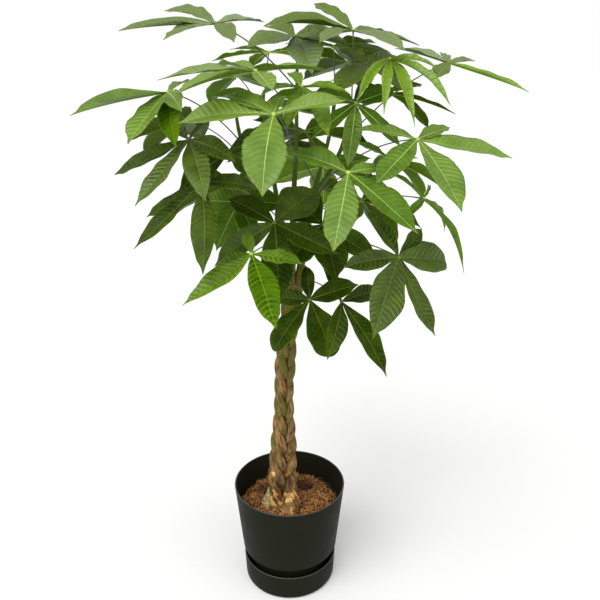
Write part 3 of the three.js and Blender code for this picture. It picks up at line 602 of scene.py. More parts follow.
def stalk_as_packed(leaf, corners):
    """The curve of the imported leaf's stalk."""
    def mark(bend):
        place, ahead = on_curve(stalk_curve(leaf, bend), SOLID_STALK_STATION)
        return place + SOLID_STALK_RADIUS * unit(np.cross([0, 0, 1], ahead))
    return stalk_curve(leaf, first_found(STALK_BENDS, mark, corners) or STALK_BENDS[0])


for number, leaf in enumerate(ALL_LEAVES, start=1):
    leaf["node"] = f"leaf_{number:02d}"
    corners = corners_of(leaf["node"])
    leaf["shapes"] = leaflets_as_packed(leaf, corners)
    leaf["curve"] = stalk_as_packed(leaf, corners)
planned = sum(len(leaf["leaflets"]) for leaf in ALL_LEAVES)
print(sum(len(leaf["shapes"]) for leaf in ALL_LEAVES), "of", planned, "leaflets found in the packed model")

# %% [markdown]
# ## Leaf skin
# A leaf blade is green all through under a thin clear wax, so it is a dull green with a soft
# grey shine on it. Each blade carries three maps. One gives how far along and how far towards
# the margin a point is and the count of side veins up to it. Another gives which side it is
# on, the leaflet's own tint and its distance from the midrib in millimetres. The last gives
# how strongly it is quilted. So veins, a pale midrib and a dry tip follow each blade, however
# it is turned.

# %% Colours and sizes of the leaf skin
# each tone's valley colour is painted shade in the folds of a quilted leaf
LEAF_TONES = {
    "dark": dict(deep="#243600", full="#576f0a", vein="#748a2a", rib="#748a30", under="#3c5006",
                 painted_valley_shade="#162400"),
    "bright": dict(deep="#3c6005", full="#719028", vein="#98b05c", rib="#bcd675", under="#577512",
                   painted_valley_shade="#2c4a04"),
    "young": dict(deep="#3c6000", full="#6f9102", vein="#8fb028", rib="#86ac22", under="#688a00",
                  painted_valley_shade="#264200"),
}
PAINTED_SHEEN = "#93a379"            # painted grey-green sheen on leaves that get the most light
PAINTED_SHEEN_SHARES = dict(dark=0.6, bright=0.6, young=0.1)    # how much of that painted sheen each tone can have
WATER_MARK = "#b9c98c"           # lime left in specks by dried drops
DRY_TIP = "#3f3a20"              # the last millimetres of a leaflet dry out brown
VALLEY_SHADE, CREST_PAINTED_HIGHLIGHT = 0.75, 0.3     # painted shade in the valleys and painted highlight on the crests of quilting
LEAF_PATTERNS = ((30, 3),        # millimetres and detail of lighter and darker clouds of green,
                 (12, 3),        # of the uneven steps between side veins,
                 (20, 2),        # of the places where an old leaf is quilted
                 (2.2, 2))       # and of water marks
VEIN_NET = 1.6                   # millimetres: the finest veins, drawn coarser than they are to show
VEIN_GROOVE = 0.0006             # metres
OLD_WAX_SHINE, NEW_WAX_SHINE = 0.04, 0.65    # dull old leaves and waxy new ones
GLOW_DEPTH = (0.0007, 0.0013, 0.0001)        # how far red, green and blue go through a blade
print("greens of the leaf skin:", {tone: LEAF_TONES[tone]["full"] for tone in LEAF_TONES})

# %% [markdown]
# ### Blade material
# The shares of the layers below come from the three maps and from four cloudy patterns. Each
# step reads a map and goes smoothly from one value where the map is low to another where it
# is high. The layers then lie over the deep green one by one, each over those before it: the
# full green, a painted highlight on the crests and painted shade in the valleys of the
# quilting, veins, margin, a painted grey sheen, water marks, the underside, the midrib and
# the dry tip. A painted texture would need the leaf unfolded, and would be blurred this close.

# %% Blade material


def leaf_material(tone):
    """A living blade under wax, in one of the plant's greens. It looks dull and uneven green
    with pale ribs, and shines in a soft grey sheet where the wax is new. The crests of its
    quilting get a painted highlight and the valleys painted shade, and leaves at the top get a
    painted grey sheen."""
    colours = {key: linear(value) for key, value in LEAF_TONES[tone].items()}
    material, tree, shader = start_material(f"leaf_blade_{tone}", 0.45)
    place = add(tree, COORDINATES).outputs["Object"]
    shape, side = (add(tree, SPLIT, (add(tree, MAP, attribute_name=name).outputs["Vector"],)).outputs
                   for name in ("blade_shape", "blade_side"))
    reach, margin, vein_count = shape
    under, tint, off_rib = side
    quilt = add(tree, MAP, attribute_name="quilt").outputs["Fac"]
    clouds, waver, patches, drops = (
        add(tree, NOISE, {"Vector": place, "Scale": 1 / (size * MM), "Detail": detail, "Roughness": 0.55})
        for size, detail in LEAF_PATTERNS)
    fullness = add(tree, MATH, (tint, 0.75, add(tree, MATH, (clouds, 0.7), **TIMES)), **TIMES_PLUS)
    uneven_count = add(tree, MATH, (waver, 0.5, vein_count), **TIMES_PLUS)
    past_vein = add(tree, MATH, (uneven_count,), operation="FRACT")
    near_vein = add(tree, MATH, (past_vein, 0.5), operation="SUBTRACT")
    near_vein = add(tree, MATH, (near_vein,), operation="ABSOLUTE")
    steps = {name: add(tree, STEP, row, **SMOOTH) for name, row in {
        "full": (fullness, 0.35, 1.1), "edge": (margin, 0.95, 1.0, 0.0, 0.3),
        "vein": (near_vein, 0.38, 0.49), "vein_shows": (clouds, 0.35, 0.6, 0.5, 1.0),
        "vein_fresh": (tint, 0.2, 0.8, 0.04, 0.5), "bulge": (near_vein, 0.5, 0.15),
        "patchy": (patches, 0.4, 0.62, 0.15, 1.0), "quilted": (quilt, 1.3, 3.2),
        "painted_valley_shade": (near_vein, 0.18, 0.46, 0.0, VALLEY_SHADE),
        "painted_crest_highlight": (near_vein, 0.22, 0.04, 0.0, CREST_PAINTED_HIGHLIGHT),
        "painted_sheen": (tint, 0.9, 1.5, 0.0, PAINTED_SHEEN_SHARES[tone]), "drop": (drops, 0.62, 0.74, 0.0, 0.22),
        "rib_width": (reach, 0.0, 1.0, 1.0, 0.35), "dry_tip": (reach, 0.968, 0.995),
        "roughness": (clouds, 0.3, 0.7, 0.3, 0.46),
        "wax": (tint, 0.2, 0.8, OLD_WAX_SHINE, NEW_WAX_SHINE),
    }.items()}
    quilted = add(tree, MATH, (steps["patchy"], steps["quilted"]), **TIMES)
    veined = add(tree, MATH, (steps["vein"], steps["vein_shows"]), **TIMES)
    painted_crest_highlights, painted_valley_shades, veins, underside = (add(tree, MATH, pair, **TIMES) for pair in (
        (quilted, steps["painted_crest_highlight"]), (quilted, steps["painted_valley_shade"]), (veined, steps["vein_fresh"]), (under, 0.75)))
    off_rib = add(tree, MATH, (off_rib,), operation="ABSOLUTE")
    off_rib = add(tree, MATH, (off_rib, steps["rib_width"]), operation="DIVIDE")
    on_rib = add(tree, STEP, (off_rib, 0.5, 1.1, 0.85, 0.0), **SMOOTH)
    # the crests of the quilting get a painted highlight and its valleys painted shade
    green = colours["deep"]
    # leaves at the top get a painted grey sheen
    for share, layer in (
            (steps["full"], colours["full"]), (painted_crest_highlights, colours["vein"]), (painted_valley_shades, colours["painted_valley_shade"]),
            (veins, colours["vein"]), (steps["edge"], colours["vein"]),
            (steps["painted_sheen"], linear(PAINTED_SHEEN)), (steps["drop"], linear(WATER_MARK)),
            (underside, colours["under"]), (on_rib, colours["rib"]), (steps["dry_tip"], linear(DRY_TIP))):
        green = add(tree, MIX, {0: share, 6: green, 7: layer}, **COLOUR)
    bare = add(tree, MATH, (under, -0.85, 1.0), **TIMES_PLUS)
    net = add(tree, "ShaderNodeTexVoronoi", {"Vector": place, "Scale": 1 / (VEIN_NET * MM)})
    relief = add(tree, MATH, (net, 0.2, steps["bulge"]), **TIMES_PLUS)
    wire(tree, shader, {
        "Base Color": green, "Roughness": steps["roughness"],
        "Specular IOR Level": add(tree, MATH, (steps["wax"], bare), **TIMES),
        "Subsurface Weight": 0.4, "Subsurface Radius": GLOW_DEPTH, "Subsurface Scale": 1.0,
        "Normal": add(tree, BUMP, {"Height": relief, "Distance": VEIN_GROOVE, "Strength": 1.0})})
    return material


BLADE_LOOKS = {tone: leaf_material(tone) for tone in LEAF_TONES}
print("blade materials:", ", ".join(material.name for material in BLADE_LOOKS.values()))

# %% [markdown]
# ### Knob and stalk
# The knob where the leaflets meet is soft tissue, yellow-green while it is fresh. The stalk
# has a thin skin with tiny pimples, purplish grey below and green next to the knob. Both
# are mottled a little, since an even colour would look like wire.

# %% Knob and stalk materials
KNOB_MOTTLE, STALK_MOTTLE = 3, 6         # millimetres
STALK_PIMPLE = 1.2                       # millimetres, drawn coarser than they are to show


def hub_material(name, dark, light):
    """The soft tissue of a leaf's knob, matt and mottled."""
    material, tree, shader = start_material(name, 0.4)
    mottle = add(tree, NOISE, {"Vector": add(tree, COORDINATES).outputs["Object"],
                               "Scale": 1 / (KNOB_MOTTLE * MM), "Detail": 3.0, "Roughness": 0.55})
    colour = add(tree, MIX, {0: mottle, 6: linear(dark), 7: linear(light)}, **COLOUR)
    wire(tree, shader, {"Base Color": colour})
    return material


def stalk_material():
    """A leaf stalk's thin skin. It is dark and dull, so the stalks sink into the shade."""
    material, tree, shader = start_material("leaf_stalk_skin", 0.5)
    place = add(tree, COORDINATES).outputs["Object"]
    mottle, pimples = (
        add(tree, NOISE, {"Vector": place, "Scale": 1 / (size * MM), "Detail": 3.0, "Roughness": 0.55})
        for size in (STALK_MOTTLE, STALK_PIMPLE))
    reach = add(tree, MAP, attribute_name="stalk_reach").outputs["Fac"]
    near_knob = add(tree, STEP, (reach, 0.75, 1.0, 0.0, 0.9), **SMOOTH)
    colour = linear("#383a2a")
    for share, layer in ((mottle, "#55563e"), (near_knob, "#66802f")):
        colour = add(tree, MIX, {0: share, 6: colour, 7: linear(layer)}, **COLOUR)
    wire(tree, shader, {"Base Color": colour, "Normal": add(
        tree, BUMP, {"Height": pimples, "Distance": 0.0001, "Strength": 1.0})})
    return material


FRESH_KNOB_LOOK = hub_material("fresh_leaf_knob", "#9cc13c", "#c4dc66")
OLD_KNOB_LOOK = hub_material("old_leaf_knob", "#4f6a1c", "#7c9838")
STALK_LOOK = stalk_material()
print("and", FRESH_KNOB_LOOK.name, OLD_KNOB_LOOK.name, STALK_LOOK.name)

# %% [markdown]
# ## One leaflet
# A leaflet is a thin arched blade, folded up along its midrib, with a narrow drip tip. Side
# veins leave the midrib at regular steps and curve towards the tip, and the blade bulges a
# little between them. All of this is in the mesh, on both faces alike, because a blade this
# thin has the same relief on its two sides. Only the midrib stands out below and not above.
# A living leaflet also turns its upper side to the light, so each is rolled towards level.

# %% Usual form of a blade
BLADE_WIDE = 0.37
BLADE_FOLD, ARCH_SLACK = 0.22, 0.35
BLADE_WAVE, WAVES = 1.2, 9
BASE_TAPER, TIP_TAPER = 1.2, 1.0
BLADE_RINGS, BACK_BLADE_RINGS, BLADE_COLUMNS = 104, 60, 17
BLADE_THICK = 0.5
RIB_THICK = 2.1
VEIN_STEP = 9.6                  # millimetres between two side veins
DRIP_TIP_FROM = 0.84
UNEVEN = 0.055                   # share by which a margin strays from a smooth curve

# How a leaflet differs from its solid. width and short are shares of the solid's width and
# length. arch is about five times its rise half way and droop is the fall of its tip, both
# as shares of its length. level and front are degrees that it is rolled, to face up or to face
# the camera. folded is how much steeper its two halves rise from the midrib, quilt how far the
# blade bulges between its veins. base is how slowly it widens, and blunt the same for an end
# that is turned in, or 0 for a pointed one. sway bends it in its plane, from 0 to 1 as a rule.
# light is how light a leaf's tint is, partly for its age and partly as painted shade deep in
# the crown, and tint how far a leaflet strays from it. look is the tone of another leaf, and
# fresh gives one leaflet the colour of a young one.
USUAL_FORM = dict(width=0.86, short=1.0, arch=0.15, droop=0.022, level=6, front=0, folded=0, quilt=1.2,
                  blunt=0, base=BASE_TAPER, fresh=False)
BACK_FORM = dict(width=1.16, level=0)
print("the usual form of a leaflet:", USUAL_FORM)

# %% [markdown]
# ### Leaves that differ
# Most leaflets keep the usual form. The rows below say only what is different. At the front
# that follows the photograph. At the back, which it doesn't show, and for a few leaflets at
# the front, it keeps blades from cutting through each other. Whole leaves come first and then
# single leaflets, counted from 0 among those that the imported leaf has.

# %% Forms of single leaves and leaflets
LEAF_FORMS = {
    "leaf_01": dict(arch=0.16, level=0, front=8, light=1.3), "leaf_02": dict(level=6, light=0.98),
    "leaf_03": dict(width=0.8, arch=0.13, level=0, front=12, light=0.6),
    "leaf_04": dict(level=14, light=0.9),
    "leaf_05": dict(width=0.66, arch=0.06, sway=1.1, light=0.5),
    "leaf_06": dict(width=0.7, arch=0.03, sway=1.2, light=0.38),
    "leaf_07": dict(width=1.0, arch=0.1, light=0.3),
    "leaf_08": dict(width=0.84, arch=0.06, quilt=3.2, light=0.4),
    "leaf_09": dict(arch=0.1, light=0.3, quilt=1.7), "leaf_10": dict(arch=0.1, light=0.3, quilt=1.7),
    "leaf_11": dict(width=0.78, arch=0.1, light=0.42, quilt=3.2, sway=0.2),
    "leaf_12": dict(width=0.82, arch=0.08, level=6, light=0.6),
    "leaf_13": dict(width=0.85, level=12, light=0.5),
    "leaf_14": dict(arch=0.05, droop=0.05, level=0, light=1.1, look="dark"),
    "leaf_15": dict(width=1.0, arch=0.02, level=0, light=1.3),
    "leaf_16": dict(width=0.6, arch=0.36, droop=0.1, level=0, folded=0.5, light=1.0),
    "leaf_17": dict(width=0.62, arch=0.34, droop=0.1, level=0, folded=0.3, light=0.4),
    "leaf_18": dict(width=0.8, arch=0.2, droop=0.06, light=0.7),
    "leaf_19": dict(width=1.15, light=0.3, level=0),
    "leaf_20": dict(width=1.3, level=0, light=0.3), "leaf_21": dict(width=1.1, level=0, light=1.0),
    "leaf_22": dict(width=1.16, level=0, light=0.65), "leaf_23": dict(width=1.25, level=0, light=0.3),
    "leaf_24": dict(width=0.62), "leaf_26": dict(width=1.45, level=0, light=0.25),
    "leaf_29": dict(width=1.2), "leaf_30": dict(width=0.85), "leaf_32": dict(width=0.95, arch=0.03),
    "leaf_34": dict(width=0.95),
    "leaf_35": dict(width=0.55, light=0.4), "leaf_36": dict(width=0.9),
}
LEAFLET_FORMS = {
    ("leaf_01", 0): dict(arch=0.07, front=8, width=0.75, quilt=0.6),
    ("leaf_03", 0): dict(width=0.92, arch=0.06, front=16, tint=0.3),
    ("leaf_03", 2): dict(fresh=True, tint=-0.4),
    ("leaf_04", 0): dict(width=1.04), ("leaf_05", 2): dict(width=0.84),
    ("leaf_06", 0): dict(width=0.54), ("leaf_06", 2): dict(width=0.56),
    ("leaf_07", 2): dict(tint=1.6), ("leaf_07", 4): dict(width=1.8, tint=1.4),
    ("leaf_08", 0): dict(arch=0.01, sway=1.7, width=0.74, tint=1.2),
    ("leaf_08", 1): dict(width=0.68, tint=0.1),
    ("leaf_09", 0): dict(width=0.72), ("leaf_10", 0): dict(blunt=0.62),
    ("leaf_10", 1): dict(width=1.15, blunt=0.62),
    ("leaf_11", 0): dict(width=0.95), ("leaf_11", 2): dict(width=0.56, sway=-0.4),
    ("leaf_11", 3): dict(blunt=0.44, base=0.8, short=0.84, width=1.5),
    ("leaf_12", 0): dict(arch=0.03, sway=0, tint=1.1),
    ("leaf_13", 1): dict(width=0.7),
    ("leaf_14", 1): dict(arch=0.14, width=1.1), ("leaf_14", 2): dict(width=0.7),
    ("leaf_15", 0): dict(width=0.38, folded=0.3, tint=0, fresh=True), ("leaf_17", 1): dict(width=0.5),
    ("leaf_17", 4): dict(width=0.4), ("leaf_19", 0): dict(width=0.72, tint=1.8),
    ("leaf_19", 1): dict(width=0.6), ("leaf_19", 2): dict(width=0.6), ("leaf_19", 3): dict(droop=0),
    ("leaf_22", 1): dict(sway=1.8), ("leaf_26", 0): dict(width=1.1), ("leaf_26", 4): dict(width=2.1),
    ("leaf_29", 0): dict(arch=0.04), ("leaf_29", 3): dict(width=1.5),
    ("leaf_31", 0): dict(width=0.85, sway=1.6),
}
print(len(LEAF_FORMS), "leaves and", len(LEAFLET_FORMS), "leaflets have a form of their own")

# %% [markdown]
# ### Outline and relief
# A blade is worked out as if it lay flat: how wide it is at each share of its length, and how
# high its middle surface lies over the midrib. The relief is a sum of the fold, the bulges
# between veins, a slow wave, a quick ripple at the margin and the groove of the midrib. A
# sculpted leaf would be freer, but each of these leaves has its own proportions.

# %% Outline and relief of a blade


def blade_half_width(leaf, length, s, side, temper):
    """Half the width of a leaflet along it, in millimetres, a little uneven on each side."""
    base_taper = temper["base"]
    tip_taper = temper["blunt"] or TIP_TAPER * (0.88 + 0.3 * temper["point"])
    widest = base_taper / (base_taper + tip_taper)
    fullest = widest ** base_taper * (1 - widest) ** tip_taper
    shape = s ** base_taper * (1 - s) ** tip_taper / fullest
    pinch = 1 if temper["blunt"] else 1 - 0.42 * smooth((s - DRIP_TIP_FROM) / 0.11)
    fullness = temper["width"] * (0.93 + 0.14 * temper["fullness"])
    phase = 9 * temper["fold"] + 2.4 * side
    fullness = fullness * (1 + UNEVEN * (np.sin(9 * s + phase) + 0.5 * np.sin(19 * s + 2 * phase)))
    return length * leaf.get("wide", BLADE_WIDE) / 2 * fullness * shape * pinch + 1.1 * (1 - 0.85 * s)


def blade_relief(s, t, width, length, degrees, temper):
    """Height of a blade's middle surface over its midrib, and the count of side veins."""
    side = np.sign(t)
    off = np.abs(t) * width
    veins = max(round(length / VEIN_STEP), 8)
    lean = 0.4 * np.abs(t) + 0.35 * t ** 2
    count = veins * (s - lean * width / length)
    fade = smooth((off - 1) / 5) * (1 - np.abs(t) ** 5) * np.sin(np.pi * s) ** 0.5
    uneven = 1 + 0.45 * np.sin(WAVES * 0.8 * s + 2.2 * side + 9 * temper["tint"])
    bulge = temper["quilt"] * temper["unrest"] * uneven * (np.abs(np.sin(np.pi * count)) ** 0.7 - 0.5) * fade
    slope = BLADE_FOLD + temper["folded"] + 0.2 * temper["fold"] * np.sin(np.pi * s)
    fold = slope * width * (1.2 * np.abs(t) - 0.2 * t ** 2)
    calm = np.sin(np.pi * np.clip(s, 0, 1)) ** 0.4
    wave = BLADE_WAVE * np.abs(t) ** 1.6 * np.sin(WAVES * s + 2 * side + degrees) * calm
    lively = 0.3 + 0.9 * temper["ripple"]
    ripple = lively * np.abs(t) ** 3 * np.sin(2.6 * WAVES * s + 3 * side + 7 * temper["tint"]) * calm
    groove = -0.45 * np.exp(-(off / 0.9) ** 2) * (1 - 0.7 * s)
    roll = 0.3 * (temper["roll"] - 0.5) * smooth(s * 1.3) * width * t
    return fold + wave + ripple + bulge + groove + roll, count


print("a leaflet of 150 mm has", round(150 / VEIN_STEP), "side veins on each side")

# %% [markdown]
# ### How a leaflet lies
# No two leaflets are alike, so each draws eight numbers from one seeded row: its own tint,
# fullness, point, fold, ripple, roll and sway, and how unrestful its bulges are. It is also
# rolled about its length, towards the sky or towards the camera, as leaves turn to light.

# %% Temper and roll of a leaflet
UP, TO_CAMERA = np.array([0, 0, 1]), np.array([0, -1, 0])
FACING_ALREADY = 1e-6            # radians: a smaller turn has no way round and isn't made


def blade_temper(draw, leaf, number):
    """How one leaflet differs from the next: its own form and seeded shares from 0 to 1."""
    temper = {key: next(draw) for key in ("tint", "fullness", "point", "fold", "ripple", "roll", "sway")}
    temper["unrest"] = 0.6 + 0.8 * next(draw)
    usual = {**USUAL_FORM, **(BACK_FORM if leaf["hub"][1] > 0 else {})}
    own = {**LEAF_FORMS.get(leaf["node"], {}), **LEAFLET_FORMS.get((leaf["node"], number), {})}
    return {**temper, **usual, **own}


def rolled(ahead, top, goal, degrees):
    """The top direction rolled about ahead, towards a goal direction, by some degrees at most."""
    nearest = unit(goal - ahead * (goal @ ahead))
    angle = math.acos(np.clip(nearest @ top, -1, 1))
    if angle < FACING_ALREADY:
        return top
    share = min(math.radians(degrees) / angle, 1)
    return unit(top * math.sin((1 - share) * angle) + nearest * math.sin(share * angle))


print("a level leaf stays level:", rolled(np.array([1, 0, 0]), UP, UP, 10).tolist())

# %% [markdown]
# ### Rings over a blade
# The middle surface is bent up by the arch, down by the droop and aside by the sway. Then
# half the thickness goes to each side of it, with the midrib below, and one ring runs over
# the upper side and back under it. The tip is a single point.

# %% Rings over a blade


def blade_rings(leaf, shape, temper):
    """Rings over a leaflet's upper side and back under it, its tip, and its two maps."""
    degrees, length, lift = shape
    ahead, top, left = leaflet_frame(leaf, degrees, lift)
    turned_top = rolled(ahead, rolled(ahead, top, UP, temper["level"]), TO_CAMERA, temper["front"])
    turned_left = np.cross(turned_top, ahead)
    length *= temper["short"]
    count = BACK_BLADE_RINGS if leaf["hub"][1] > 0 else BLADE_RINGS
    s = np.linspace(0.012, 0.996, count)[:, None]
    spread = np.linspace(-1, 1, BLADE_COLUMNS)
    t = (np.sign(spread) * np.abs(spread) ** 1.2)[None, :]
    width = blade_half_width(leaf, length, s, np.sign(t), temper)
    height, veins = blade_relief(s, t, width, length, degrees, temper)
    arch = temper["arch"] * length * s * (1 - s) * (1 - ARCH_SLACK * s)
    droop = temper["droop"] * length * s ** 4
    sway = 0.05 * length * (temper["sway"] - 0.5) * np.sin(np.pi * s)
    hub = np.array(leaf["hub"], float)
    rib_line = hub + ahead * (length * s) + left * sway + top * arch - np.array([0, 0, 1]) * droop
    middle = rib_line[:, None] + turned_left * (t * width)[..., None] + turned_top * height[..., None]
    outward = np.cross(np.gradient(middle, axis=0), np.gradient(middle, axis=1))
    outward /= np.linalg.norm(outward, axis=2, keepdims=True)
    outward *= np.sign((outward @ turned_top).mean())
    thin = (BLADE_THICK / 2 * np.sqrt(np.clip(1 - np.abs(t) ** 8, 0, 1)) * np.ones_like(s))[..., None]
    rib = RIB_THICK * (1 - 0.9 * s) ** 1.2 * np.exp(-(t * width / 1.05) ** 2) * (1 - np.abs(t) ** 6)
    upper = middle + outward * thin
    lower = middle - outward * (thin + rib[..., None])
    rings = np.concatenate([upper, lower[:, -2:0:-1]], axis=1)
    tip = hub + ahead * length - np.array([0, 0, temper["droop"] * length])

    def around(values):
        values = values * np.ones((count, BLADE_COLUMNS))
        return np.concatenate([values, values[:, -2:0:-1]], axis=1).ravel()

    over, below = np.zeros((count, BLADE_COLUMNS)), np.ones((count, BLADE_COLUMNS - 2))
    under = np.concatenate([over, below], axis=1).ravel()
    tint = leaf["light"] * (0.7 + 0.6 * temper["tint"])
    blade_shape = np.stack([around(s), around(np.abs(t)), around(veins)], axis=1)
    blade_side = np.stack([under, np.full_like(under, tint), around(t * width)], axis=1)
    return rings, tip, blade_shape, blade_side


print("a blade has", BLADE_RINGS, "rings, and at the back", BACK_BLADE_RINGS)

# %% [markdown]
# ## One whole leaf
# The leaflets meet in a lumpy knob at the end of the stalk. The stalk is a path with a
# thickness at each point, swollen at both ends, and a Geometry Nodes tree draws it out to a
# closed tube. A curve object with a bevel would do too, but the tree keeps the whole leaf one
# piece, as it is on the plant, and records how far along the stalk each point is.

# %% The tree that draws out a stalk


def stalk_tree():
    """Geometry Nodes: loose path edges become closed round stalks, and faces stay."""
    tree = bpy.data.node_groups.new("draw_out_stalk", "GeometryNodeTree")
    face = tree.interface
    face.new_socket("Geometry", in_out="INPUT", socket_type="NodeSocketGeometry")
    face.new_socket("Sides", in_out="INPUT", socket_type="NodeSocketInt").default_value = 10
    face.new_socket("Skin", in_out="INPUT", socket_type="NodeSocketMaterial")
    face.new_socket("Geometry", in_out="OUTPUT", socket_type="NodeSocketGeometry")
    start = add(tree, "NodeGroupInput").outputs
    thick = add(tree, "GeometryNodeInputNamedAttribute", {"Name": "thick"}, data_type="FLOAT")
    on_path = add(tree, "FunctionNodeCompare", {0: thick, 1: 1e-6}, operation="GREATER_THAN").outputs[0]
    parted = add(tree, "GeometryNodeSeparateGeometry", {"Geometry": start[0], "Selection": on_path},
                 domain="POINT").outputs
    path = add(tree, "GeometryNodeMeshToCurve", {"Mesh": parted[0]}).outputs[0]
    reach = add(tree, "GeometryNodeSplineParameter").outputs["Factor"]
    path = add(tree, "GeometryNodeStoreNamedAttribute",
               {"Geometry": path, "Name": "stalk_reach", "Value": reach}, data_type="FLOAT").outputs[0]
    section = add(tree, "GeometryNodeCurvePrimitiveCircle", {"Resolution": start["Sides"], "Radius": 1.0})
    tube = add(tree, "GeometryNodeCurveToMesh", {"Curve": path, "Profile Curve": section.outputs[0],
                                                 "Scale": thick, "Fill Caps": True}).outputs[0]
    tube = add(tree, "GeometryNodeSetShadeSmooth", {"Geometry": tube}).outputs[0]
    tube = add(tree, "GeometryNodeRealizeInstances", {"Geometry": tube}).outputs[0]
    tube = add(tree, "GeometryNodeSetMaterial", {"Geometry": tube, "Material": start["Skin"]}).outputs[0]
    joined = add(tree, "GeometryNodeJoinGeometry")
    tree.links.new(tube, joined.inputs[0])
    tree.links.new(parted[1], joined.inputs[0])
    add(tree, "NodeGroupOutput", {0: joined.outputs[0]})
    return tree


def run_tree(piece, tree, settings):
    """Runs a Geometry Nodes tree on a piece and keeps its result as a plain mesh."""
    modifier = piece.modifiers.new(tree.name, "NODES")
    modifier.node_group = tree
    for item in tree.interface.items_tree:
        if item.in_out == "INPUT" and item.name in settings:
            modifier[item.identifier] = settings[item.name]
    evaluated = piece.evaluated_get(bpy.context.evaluated_depsgraph_get())
    made = bpy.data.meshes.new_from_object(evaluated)
    piece.modifiers.remove(modifier)
    made.name = piece.name
    piece.data = made
    return piece


STALK_TREE = stalk_tree()
print("tree with inputs", [item.name for item in STALK_TREE.interface.items_tree if item.in_out == "INPUT"])

# %% [markdown]
# ### Knob, stalk and lightness
# The knob has a low lobe towards each leaflet. The stalk swells where it leaves the stem and
# where it meets the knob, as joints that turn the leaf do. Leaves deep in the crown are older
# and darker than those at its outside, and are also painted darker as shade of the crown, those
# at the back most. One number for each leaf says how light it is.

# %% Knob, stalk and lightness of a leaf
STALK_RADIUS = 1.25
STALK_STATIONS, STALK_SIDES = 26, 10
KNOB_RADIUS = 4.1


def knob(leaf):
    """A low lumpy knob with a lobe towards each leaflet."""
    up, down, across = leaf_frame(leaf)
    turn = np.linspace(0, 2 * np.pi, 20, endpoint=False)
    lobes = np.zeros_like(turn)
    for degrees, _, _ in leaf["shapes"]:
        lobes += np.exp(-((turn - math.radians(degrees) + np.pi) % (2 * np.pi) - np.pi) ** 2 / 0.12)
    tilt = np.linspace(-0.42, 0.46, 9)[:, None] * np.pi
    radius = KNOB_RADIUS * np.cos(tilt) * (0.78 + 0.24 * np.minimum(lobes, 1.2) * np.cos(tilt))
    height = 0.72 * KNOB_RADIUS * np.sin(tilt) * np.ones_like(radius)
    rings = (np.array(leaf["hub"], float) + down * (radius * np.cos(turn))[..., None]
             + across * (radius * np.sin(turn))[..., None] + up * height[..., None])
    return skin(rings)


def stalk_path(leaf):
    """Points of the stalk from inside its stem to its knob, and the thickness there."""
    s = np.linspace(0, 1, STALK_STATIONS)
    place, _ = on_curve(leaf["curve"], s)
    swollen = 0.9 * np.exp(-(s / 0.06) ** 2) + 1.0 * np.exp(-((1 - s) / 0.05) ** 2)
    return place, STALK_RADIUS * (1 - 0.18 * s) + swollen


def lightness(leaf):
    """Leaves low and deep in the crown are older, and painted darker as shade of the crown: 0.1
    for them, 1 at its outside. Those at the back are painted darker still. More than 1 is a leaf
    at the very top, with a painted grey sheen on its wax."""
    x, y, z = leaf["hub"]
    usual = np.clip(0.15 + 0.5 * math.hypot(x, y) / 250 + 0.45 * (z - 850) / 300, 0.1, 1)
    # 0.7 at the back is painted shade: leaves there are painted darker
    return LEAF_FORMS.get(leaf["node"], {}).get("light", float(usual) * (0.7 if y > 0 else 1))


print("lightness of the first leaf", lightness(ALL_LEAVES[0]), "and of the last",
      round(lightness(ALL_LEAVES[-1]), 2))

# %% [markdown]
# ### Build the leaves
# Blades, knob and the stalk's path become one mesh with all its maps, and the tree above
# draws the path out. One piece for each leaf keeps it whole, as it is on the plant.

# %% Build the leaves


def make_leaf(leaf, draw):
    """One leaf: blades, knob and stalk in one piece."""
    points, faces, parts, shape_map, side_map, quilt_map = [], [], [], [], [], []
    total = 0
    leaf["light"] = lightness(leaf)
    for place, shape in enumerate(leaf["shapes"]):
        temper = blade_temper(draw, leaf, place)
        rings, tip, blade_shape, blade_side = blade_rings(leaf, shape, temper)
        skin_points, skin_faces = skin(rings, tip)
        faces.extend([[corner + total for corner in face] for face in skin_faces])
        points.append(skin_points)
        shape_map.append(np.vstack([blade_shape, (1, 0, 0)]))
        side_map.append(np.vstack([blade_side, (0, blade_side[0, 1], 0)]))
        quilt_map.append(np.full(len(skin_points), temper["quilt"]))
        parts.extend([2 if temper["fresh"] else 0] * len(skin_faces))
        total += len(skin_points)
    knob_points, knob_faces = knob(leaf)
    faces.extend([[corner + total for corner in face] for face in knob_faces])
    parts.extend([1] * len(knob_faces))
    total += len(knob_points)
    path, thick = stalk_path(leaf)
    points = np.vstack([*points, knob_points, path])
    blank = np.zeros((len(knob_points) + len(path), 3))
    maps = {"blade_shape": np.vstack([*shape_map, blank]), "blade_side": np.vstack([*side_map, blank]),
            "quilt": np.concatenate([*quilt_map, blank[:, 0]]),
            "thick": np.concatenate([np.zeros(total), thick * MM])}
    name = leaf["node"] + "_fine"
    knob_look = OLD_KNOB_LOOK if leaf["tone"] == "dark" else FRESH_KNOB_LOOK
    look = LEAF_FORMS.get(leaf["node"], {}).get("look", leaf["tone"])
    piece = build(name, points, faces, maps, [BLADE_LOOKS[look], knob_look, BLADE_LOOKS["young"]], parts)
    piece.data.edges.add(len(path) - 1)
    first = len(piece.data.edges) - len(path) + 1
    for i in range(len(path) - 1):
        piece.data.edges[first + i].vertices = (total + i, total + i + 1)
    run_tree(piece, STALK_TREE, {"Sides": STALK_SIDES, "Skin": STALK_LOOK})
    dress(piece, "leaf_" + leaf["tone"], leaf["node"])
    return piece


leaf_draw = seeded(31)
leaf_pieces = [make_leaf(leaf, leaf_draw) for leaf in ALL_LEAVES]
leaf_triangles = sum(len(piece.data.loop_triangles) for piece in leaf_pieces)
print(leaf_triangles, "triangles in", len(leaf_pieces), "leaves")
